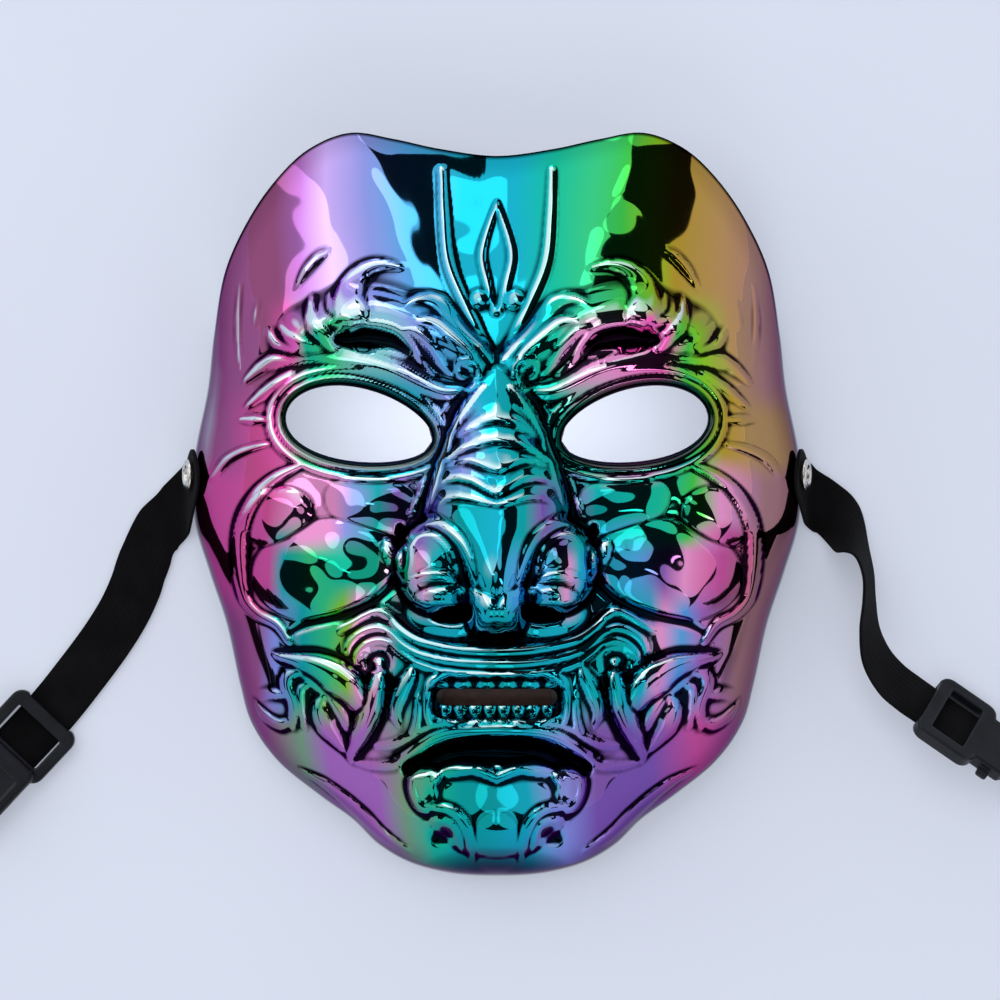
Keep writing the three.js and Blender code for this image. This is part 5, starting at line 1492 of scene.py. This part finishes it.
# %% [markdown]
# ## Elastic bands
# Each half of the band starts under its rivet, lies down the side wall, folds to the floor and
# runs on to its buckle. The left one lies flat all the way, the right one turns onto its edge.
# Cloth simulation would drape a soft band, but this one is stiff and its way is known from end
# to end, so a tube is laid along a line. At each place the line says where the middle of the
# band is and which way it lies across.

# %% Way of each band
FOLD = 3.5
TAIL = 6.5
# Places on the floor with the direction across the band
BAND_LEFT = dict(lean=46, floor=[
    ((-106.6, -3.8, 1), (-0.23, 0.97, 0)), ((-110.8, -9, 1), (-0.48, 0.88, 0)),
    ((-115.1, -18.3, 1), (-0.76, 0.65, 0)), ((-118, -26.6, 1), (-0.88, 0.48, 0)),
    ((-121.7, -34.5, 1), (-0.9, 0.43, 0)), ((-127.4, -43.6, 1), (-0.85, 0.53, 0)),
    ((-135.7, -54.8, 1), (-0.79, 0.61, 0)), ((-145.2, -66.6, 1), (-0.731, 0.682, 0)),
    ((-158.8, -81.2, 1), (-0.731, 0.682, 0)),
])
BAND_RIGHT = dict(lean=38, floor=[
    ((107.5, -0.6, 1.7), (0.12, 0.99, -0.04)), ((112, -4.8, 5.2), (0.3, 0.88, -0.36)),
    ((115.6, -9.2, 8.3), (0.38, 0.54, -0.75)), ((118.4, -14.6, 9.4), (0.28, 0.18, -0.94)),
    ((120.4, -22, 9.6), (0.24, 0.06, -0.97)), ((120.7, -30, 9.6), (0.27, 0.02, -0.96)),
    ((120.8, -39.5, 9.5), (0.4, 0.07, -0.91)), ((123, -48.5, 9.3), (0.53, 0.27, -0.8)),
    ((127.8, -55.7, 9.2), (0.5, 0.5, -0.7)), ((133.4, -60.4, 9.3), (0.45, 0.6, -0.67)),
    ((138.8, -64.2, 9.45), (0.42, 0.61, -0.669)), ((155.2, -75.5, 9.45), (0.42, 0.61, -0.669)),
])
print("left band lies on", len(BAND_LEFT["floor"]), "places, right band on", len(BAND_RIGHT["floor"]))

# %% Middle line of a band
LINE_STEPS = dict(tail=5, wall=7, fold=9, floor=14)


def band_line(side, lean, floor):
    """Middle line of a band, and the direction across it at each place."""
    rivet_at, forehead, _, out = rivet_frame(side)
    down = np.array([out[2] * side, 0, -abs(out[0])])
    lay = GAP + BAND_THICK / 2
    middle = rivet_at + out * lay
    lean = math.radians(lean)
    leaning = forehead * math.cos(lean) + down * math.sin(lean)
    turn = math.acos(out[2])
    deep = (middle[2] - lay - FOLD * (1 - out[2])) / abs(down[2])
    tail = middle + forehead * TAIL * math.sin(lean) - down * TAIL * math.cos(lean)
    fold_start = middle - forehead * deep * math.tan(lean) + down * deep
    at, across = [], []
    for share in np.linspace(0, 1, LINE_STEPS["tail"] + 1)[:-1]:
        at.append(mix(tail, middle, share))
        across.append(leaning)
    for share in np.linspace(0, 1, LINE_STEPS["wall"] + 1)[:-1]:
        at.append(mix(middle, fold_start, share))
        across.append(mix(leaning, forehead, share))

    def on_fold(share):
        left = turn * (1 - share)
        return fold_start + [side * FOLD * (math.sin(turn) - math.sin(left)),
                             -FOLD * turn * math.tan(lean) * share,
                             -FOLD * (math.cos(left) - math.cos(turn))]

    for share in np.linspace(0, 1, LINE_STEPS["fold"] + 1)[:-1]:
        at.append(on_fold(share))
        across.append(forehead)
    places, widths = zip(*floor)
    at.extend(curve_points([on_fold(1), *places], LINE_STEPS["floor"]))
    across.extend(curve_points([forehead, *widths], LINE_STEPS["floor"]))
    return np.array(at), np.array(across)


print("places on the left band's line", len(band_line(-1, **BAND_LEFT)[0]))

# %% [markdown]
# ## Section and weave of a band
# The section isn't a plain oblong: rubber threads make ribs along the band, and the edges are
# firmer. The ribs are real shape. The threads across are too fine for that, so they are bump in
# the material, in places that run with the band and are written down at each vertex.

# %% Band
BAND_SIDES = 128
BAND_CUTS = [99, 1]
RIB, RIB_HIGH = 1.7, 0.055
SELVAGE_HIGH = 0.05
END_ROUND, END_SHARE = 7.0, 0.45
LOOK_AHEAD = 0.8


def band_section(angle):
    """Place across the band and over its middle for an angle round its section."""
    over = np.cos(angle)
    up = np.sign(np.sin(angle)) * np.abs(np.sin(angle)) ** 0.22
    flat = smooth(1 - np.abs(over), 0.02, 0.14)
    rib = RIB_HIGH * np.cos(over * BAND_WIDE / 2 / RIB * 2 * np.pi) * flat
    selvage = SELVAGE_HIGH * smooth(np.abs(over), 0.84, 0.9)
    return over, up * (BAND_THICK / 2 - 0.09 + rib + selvage)


def build_band(side, name, node, lean, floor):
    at, across = band_line(side, lean, floor)
    run = np.concatenate([[0], np.cumsum(np.linalg.norm(np.diff(at, axis=0), axis=1))])
    tube = ringed_tube(name, BAND_SIDES, BAND_CUTS)
    angle, share = ring_shares(tube)
    where = share * run[-1]

    def on_line(values, where):
        return np.stack([np.interp(where, run, values[:, i]) for i in range(3)], 1)

    centre, wide = on_line(at, where), on_line(across, where)
    ahead = on_line(at, where + LOOK_AHEAD) - on_line(at, where - LOOK_AHEAD)
    ahead /= np.linalg.norm(ahead, axis=1)[:, None]
    up = np.cross(wide, ahead) * -side
    half = BAND_WIDE / 2 * np.linalg.norm(wide, axis=1) / np.linalg.norm(up, axis=1)
    half *= mix(END_SHARE, 1, np.sqrt(1 - np.clip(1 - where / END_ROUND, 0, 1) ** 2))
    wide = wide / np.linalg.norm(wide, axis=1)[:, None] * half[:, None]
    up /= np.linalg.norm(up, axis=1)[:, None]
    over, high = band_section(angle)
    write_places(tube, (centre + wide * over[:, None] * side + up * high[:, None]) * MM)
    lay = tube.data.attributes.new("weave_place", "FLOAT_VECTOR", "POINT")
    lay.data.foreach_set("vector", np.stack([over * BAND_WIDE / 2, where, high], 1).ravel())
    edit_all(tube, bpy.ops.mesh.normals_make_consistent, inside=False)
    finish_piece(tube, elastic, node, angle=50)
    print(name, "length", round(run[-1], 1), "mm")


# %% Elastic
THREAD_ACROSS, THREAD_ALONG = 0.55, 0.62


def elastic_material():
    """Black woven elastic: threads across the band and ribs along it, in the band's own places."""
    material, tree, shader = plain_tree("woven_elastic")
    place = attribute(tree, "weave_place")["Vector"]
    parts = add_node(tree, "ShaderNodeSeparateXYZ", None, Vector=place).outputs
    across, along_it = (
        math_node(tree, "SINE", math_node(tree, "MULTIPLY", parts[axis], 2 * math.pi / thread))
        for axis, thread in enumerate((THREAD_ACROSS, THREAD_ALONG)))
    weave = math_node(tree, "MULTIPLY", across, along_it)
    fuzz = add_grain(tree, place, 4.0)["Height"]
    height = math_node(tree, "ADD", weave, math_node(tree, "MULTIPLY", fuzz, 0.8))
    wear = add_grain(tree, place, 0.08, detail=2.0)["Height"]
    tone = math_node(tree, "ADD", math_node(tree, "MULTIPLY", weave, 0.12), wear)
    colour = ramp_node(tree, tone, [(0.3, (0.0015, 0.0015, 0.0022)), (0.75, (0.005, 0.005, 0.0065))])
    feed(tree, shader, Base_Color=colour, Normal=bump_node(tree, height, 0.5, 0.00012), Roughness=0.86,
         Specular_IOR_Level=0.12, Sheen_Weight=0.02)
    return material


elastic = elastic_material()
build_band(-1, "strap_left_band", "strap_left", **BAND_LEFT)
build_band(1, "strap_right_band", "strap_right", **BAND_RIGHT)

# %% [markdown]
# ## Buckle halves
# A side-release buckle: both halves have a ladder frame that the band runs through. The socket
# half goes on as a flat housing, the plug half as two sprung arms. Moulded plastic has no sharp
# corner and no seam between its parts. Bevelling every edge of one mesh by hand would give that
# slowly. Here each half is put together from bevelled blocks, cut, melted into one skin by a
# voxel remesh and softened a little.

# %% Blocks, bars and cuts
def block(low, high, bevel=0.6, corners=0.0):
    """A bevelled block. corners is the radius of its upright corners, where they have one."""
    low, high = np.array(low, float), np.array(high, float)
    deselect()
    bpy.ops.mesh.primitive_cube_add(size=1, location=tuple((low + high) / 2), scale=tuple(high - low))
    bpy.ops.object.transform_apply(location=True, scale=True)
    obj = bpy.context.object
    if corners:
        edit_chosen(obj, "EDGE", upright_edges(obj))
        bpy.ops.mesh.bevel(offset=corners, segments=6, affect="EDGES")
        bpy.ops.object.mode_set(mode="OBJECT")
    if bevel:
        apply_modifier(obj, "BEVEL", width=bevel, segments=3, limit_method="ANGLE",
                       angle_limit=math.radians(50))
    return obj


def round_bar(at, length, radius):
    """A bar across the buckle."""
    deselect()
    bpy.ops.mesh.primitive_cylinder_add(vertices=32, radius=radius, depth=length, location=at,
                                        rotation=(math.pi / 2, 0, 0))
    bpy.ops.object.transform_apply(location=True, rotation=True)
    return bpy.context.object


def cut_away(obj, cutter):
    apply_modifier(obj, "BOOLEAN", operation="DIFFERENCE", solver="EXACT", use_self=True, object=cutter)
    bpy.data.objects.remove(cutter, do_unlink=True)


def melted(obj, voxel=0.32, rounds=3, keep=0.35):
    """One even skin over all the blocks, softened and then thinned."""
    apply_modifier(obj, "REMESH", mode="VOXEL", voxel_size=voxel)
    apply_modifier(obj, "SMOOTH", factor=0.5, iterations=rounds)
    apply_modifier(obj, "DECIMATE", ratio=keep)
    return obj


# %% Frame that both halves have
FRAME = dict(half_wide=13, long=22, high=5, bar_near=5, bar_far=5, round=4)
BAR = dict(inset=2.6, radius=2.3, past=3)
CHANNEL = BAND_WIDE / 2 + 2 * GAP
OVERLAP = 1


def frame_blocks():
    long, wide, high = FRAME["long"], FRAME["half_wide"], FRAME["high"]
    plate = block((0, -wide, 0), (long, wide, high), corners=FRAME["round"])
    bars = [round_bar((along_it, 0, high - BAR["radius"]), 2 * CHANNEL + BAR["past"], BAR["radius"])
            for along_it in (BAR["inset"], long - BAR["inset"])]
    return [plate, *bars]


def frame_cuts():
    """The window that shows the band, and the channel under the bars."""
    long = FRAME["long"]
    window = block((FRAME["bar_near"], -CHANNEL, -OVERLAP), (long - FRAME["bar_far"], CHANNEL, 7), bevel=0)
    channel = block((-OVERLAP, -CHANNEL, -OVERLAP), (long - 0.01, CHANNEL, SEAT), bevel=0)
    near_slot = block((-OVERLAP, -CHANNEL, SEAT - 0.01), (0.5, CHANNEL, 6), bevel=0)
    return [window, channel, near_slot]


print("frame", FRAME["long"], "mm long, its channel", round(2 * CHANNEL, 1), "mm wide")


# %% Socket half
HOUSING = dict(long=25, half_wide=11, high=9, wall=1.8, round=2.5, window_from=8, window_to=17)
DISH = dict(start=1.5, end=3, side=3.2, deep=0.45)


def build_socket():
    """The frame and a hollow housing, with side windows for the hooks and a dish in its top."""
    long = FRAME["long"]
    end, wide, high, wall = long + HOUSING["long"], HOUSING["half_wide"], HOUSING["high"], HOUSING["wall"]
    parts = frame_blocks()
    parts.append(block((long - 4, -wide, 0), (end, wide, high), bevel=1.0, corners=HOUSING["round"]))
    cuts = frame_cuts()
    cuts.append(block((long - 5, -CHANNEL, -OVERLAP), (long, CHANNEL, SEAT), bevel=0))
    cuts.append(block((long + wall, wall - wide, wall), (end + OVERLAP, wide - wall, high - wall), bevel=0))
    cuts.append(block((long + HOUSING["window_from"], -wide - OVERLAP, wall),
                      (long + HOUSING["window_to"], wide + OVERLAP, high - wall), bevel=0))
    cuts.append(block((long + DISH["start"], -wide + DISH["side"], high - DISH["deep"]),
                      (end - DISH["end"], wide - DISH["side"], high + OVERLAP), bevel=0.3, corners=1.2))
    socket = joined(parts)
    cut_away(socket, joined(cuts))
    return socket


print("socket", FRAME["long"] + HOUSING["long"], "mm long")


# %% Plug half
PLUG = dict(low=0.6, high=4.4, body=11, half_wide=9.5, guide=20, guide_half=1.3, arm=27, hook=11)
TAB = dict(first=3, last=7, half_wide=12.5, thick=2)


def sprung_arm(side):
    """A thin arm that ends in a hook: a flat outline pulled up to the arm's height."""
    long, body, arm, hook = FRAME["long"], PLUG["body"], PLUG["arm"], PLUG["hook"]
    outline = [(body - 1, 5.6), (arm - 3, 5), (arm, 6.4), (arm - 1, hook), (arm - 6, hook),
               (arm - 6.5, 7.6), (body - 1, 8.2)]
    deselect()
    bpy.ops.mesh.primitive_circle_add(vertices=len(outline), radius=1, fill_type="NGON")
    obj = bpy.context.object
    write_places(obj, np.array([(long + a, side * b, PLUG["low"]) for a, b in outline]))
    rise = dict(value=(0, 0, PLUG["high"] - PLUG["low"]))
    edit_all(obj, bpy.ops.mesh.extrude_region_move, TRANSFORM_OT_translate=rise)
    edit_all(obj, bpy.ops.mesh.normals_make_consistent, inside=False)
    return obj


def build_plug():
    """The frame, a body with a tab on each side, a guide in the middle and the two arms."""
    long = FRAME["long"]
    low, high, body, wide = PLUG["low"], PLUG["high"], PLUG["body"], PLUG["half_wide"]
    parts = frame_blocks()
    parts.append(block((long - 2, -wide, 0), (long + body, wide, FRAME["high"]), bevel=0.8, corners=1.5))
    parts.append(block((long + TAB["first"], -TAB["half_wide"], low),
                       (long + TAB["last"], TAB["half_wide"], low + TAB["thick"]), bevel=0.4, corners=0.8))
    parts.append(block((long + body - 1, -PLUG["guide_half"], low),
                       (long + PLUG["guide"], PLUG["guide_half"], high), bevel=0.4))
    cuts = frame_cuts()
    cuts.append(block((long - 3, -wide, -OVERLAP), (long, wide, SEAT), bevel=0))
    plug = joined(parts)
    cut_away(plug, joined(cuts))
    return joined([plug, sprung_arm(-1), sprung_arm(1)])


print("plug", FRAME["long"] + PLUG["arm"], "mm long")


# %% [markdown]
# ## Plastic
# Black moulded plastic is never quite black: it has a fine texture from its mould, and its shine
# changes slowly over the piece. The same grain group makes both, once small and once large.

# %% Plastic and both halves on the floor
def black_plastic_material():
    material, tree, shader = plain_tree("black_plastic")
    place = object_place(tree)
    grain = add_grain(tree, place, 1500.0, detail=4.0)["Height"]
    patch = add_grain(tree, place, 120.0, dark=(0.003, 0.004, 0.007), light=(0.008, 0.010, 0.016))
    feed(tree, shader, Base_Color=patch["Color"], Normal=bump_node(tree, grain, 0.25, 0.0001),
         Roughness=spread(tree, patch["Height"], 0.26, 0.42), Specular_IOR_Level=0.3)
    return material


def on_floor(obj, at, heading, roll):
    """Puts a buckle half on the floor, heading along its band and rolled about that line."""
    turned = Matrix.Rotation(math.radians(heading), 4, "Z") @ Matrix.Rotation(math.radians(-roll), 4, "X")
    places = read_places(obj) @ np.array(turned.to_3x3()).T
    places += [at[0], at[1], -places[:, 2].min()]
    write_places(obj, places * MM)


def build_half(build, name, node, **place):
    half = melted(build())
    half.name = half.data.name = name
    on_floor(half, **place)
    finish_piece(half, black_plastic, node, angle=60)


black_plastic = black_plastic_material()
build_half(build_socket, "buckle_left_socket", "buckle_left", at=(-145.2, -66.6), heading=227, roll=0)
build_half(build_plug, "buckle_right_plug", "buckle_right", at=(138.4, -64.8), heading=-34.6, roll=42)

# %% [markdown]
# ## Plate behind the mouth
# A dark brown plate closes the mouth slot from inside and is seen only through it. A flat plate
# would stand away from the curved lips, so a grid is laid under the inside of the shell and gets
# its thickness from a Solidify modifier.

# %% Brown plate
PLATE = dict(half_wide=24.6, half_tall=8, y=-60.25, under=0.7, thick=1.3)


def brown_material():
    material, tree, shader = plain_tree("brown_backing")
    colours = dict(dark=(0.030, 0.014, 0.012), light=(0.060, 0.028, 0.022))
    fibre = add_grain(tree, object_place(tree), 400.0, detail=5.0, **colours)
    bump = bump_node(tree, fibre["Height"], 0.3, 0.0002)
    feed(tree, shader, Base_Color=fibre["Color"], Normal=bump, Roughness=0.6)
    return material


def build_backing():
    plate = grid_object("mouth_plate", 60, 24)
    square = read_places(plate)
    x, y = square[:, 0] * PLATE["half_wide"], PLATE["y"] + square[:, 1] * PLATE["half_tall"]
    write_places(plate, np.stack([x, y, inner_height(x, y) - PLATE["under"]], 1) * MM)
    apply_modifier(plate, "SOLIDIFY", thickness=PLATE["thick"] * MM, offset=-1)
    finish_piece(plate, brown_material(), "mouth_backing")


build_backing()

# %% [markdown]
# ## Size
# The boxes of the CAD model and of the finished pieces are written down side by side. The pieces
# should fill the CAD box and hardly pass it.

# %% Boxes and the last line
boxes = {"cad": cad_box, "visual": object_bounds()}
{name: [list(corner) for corner in corners] for name, corners in boxes.items()}
print("box of the pieces", [tuple(round(v, 4) for v in corner) for corner in boxes["visual"]])
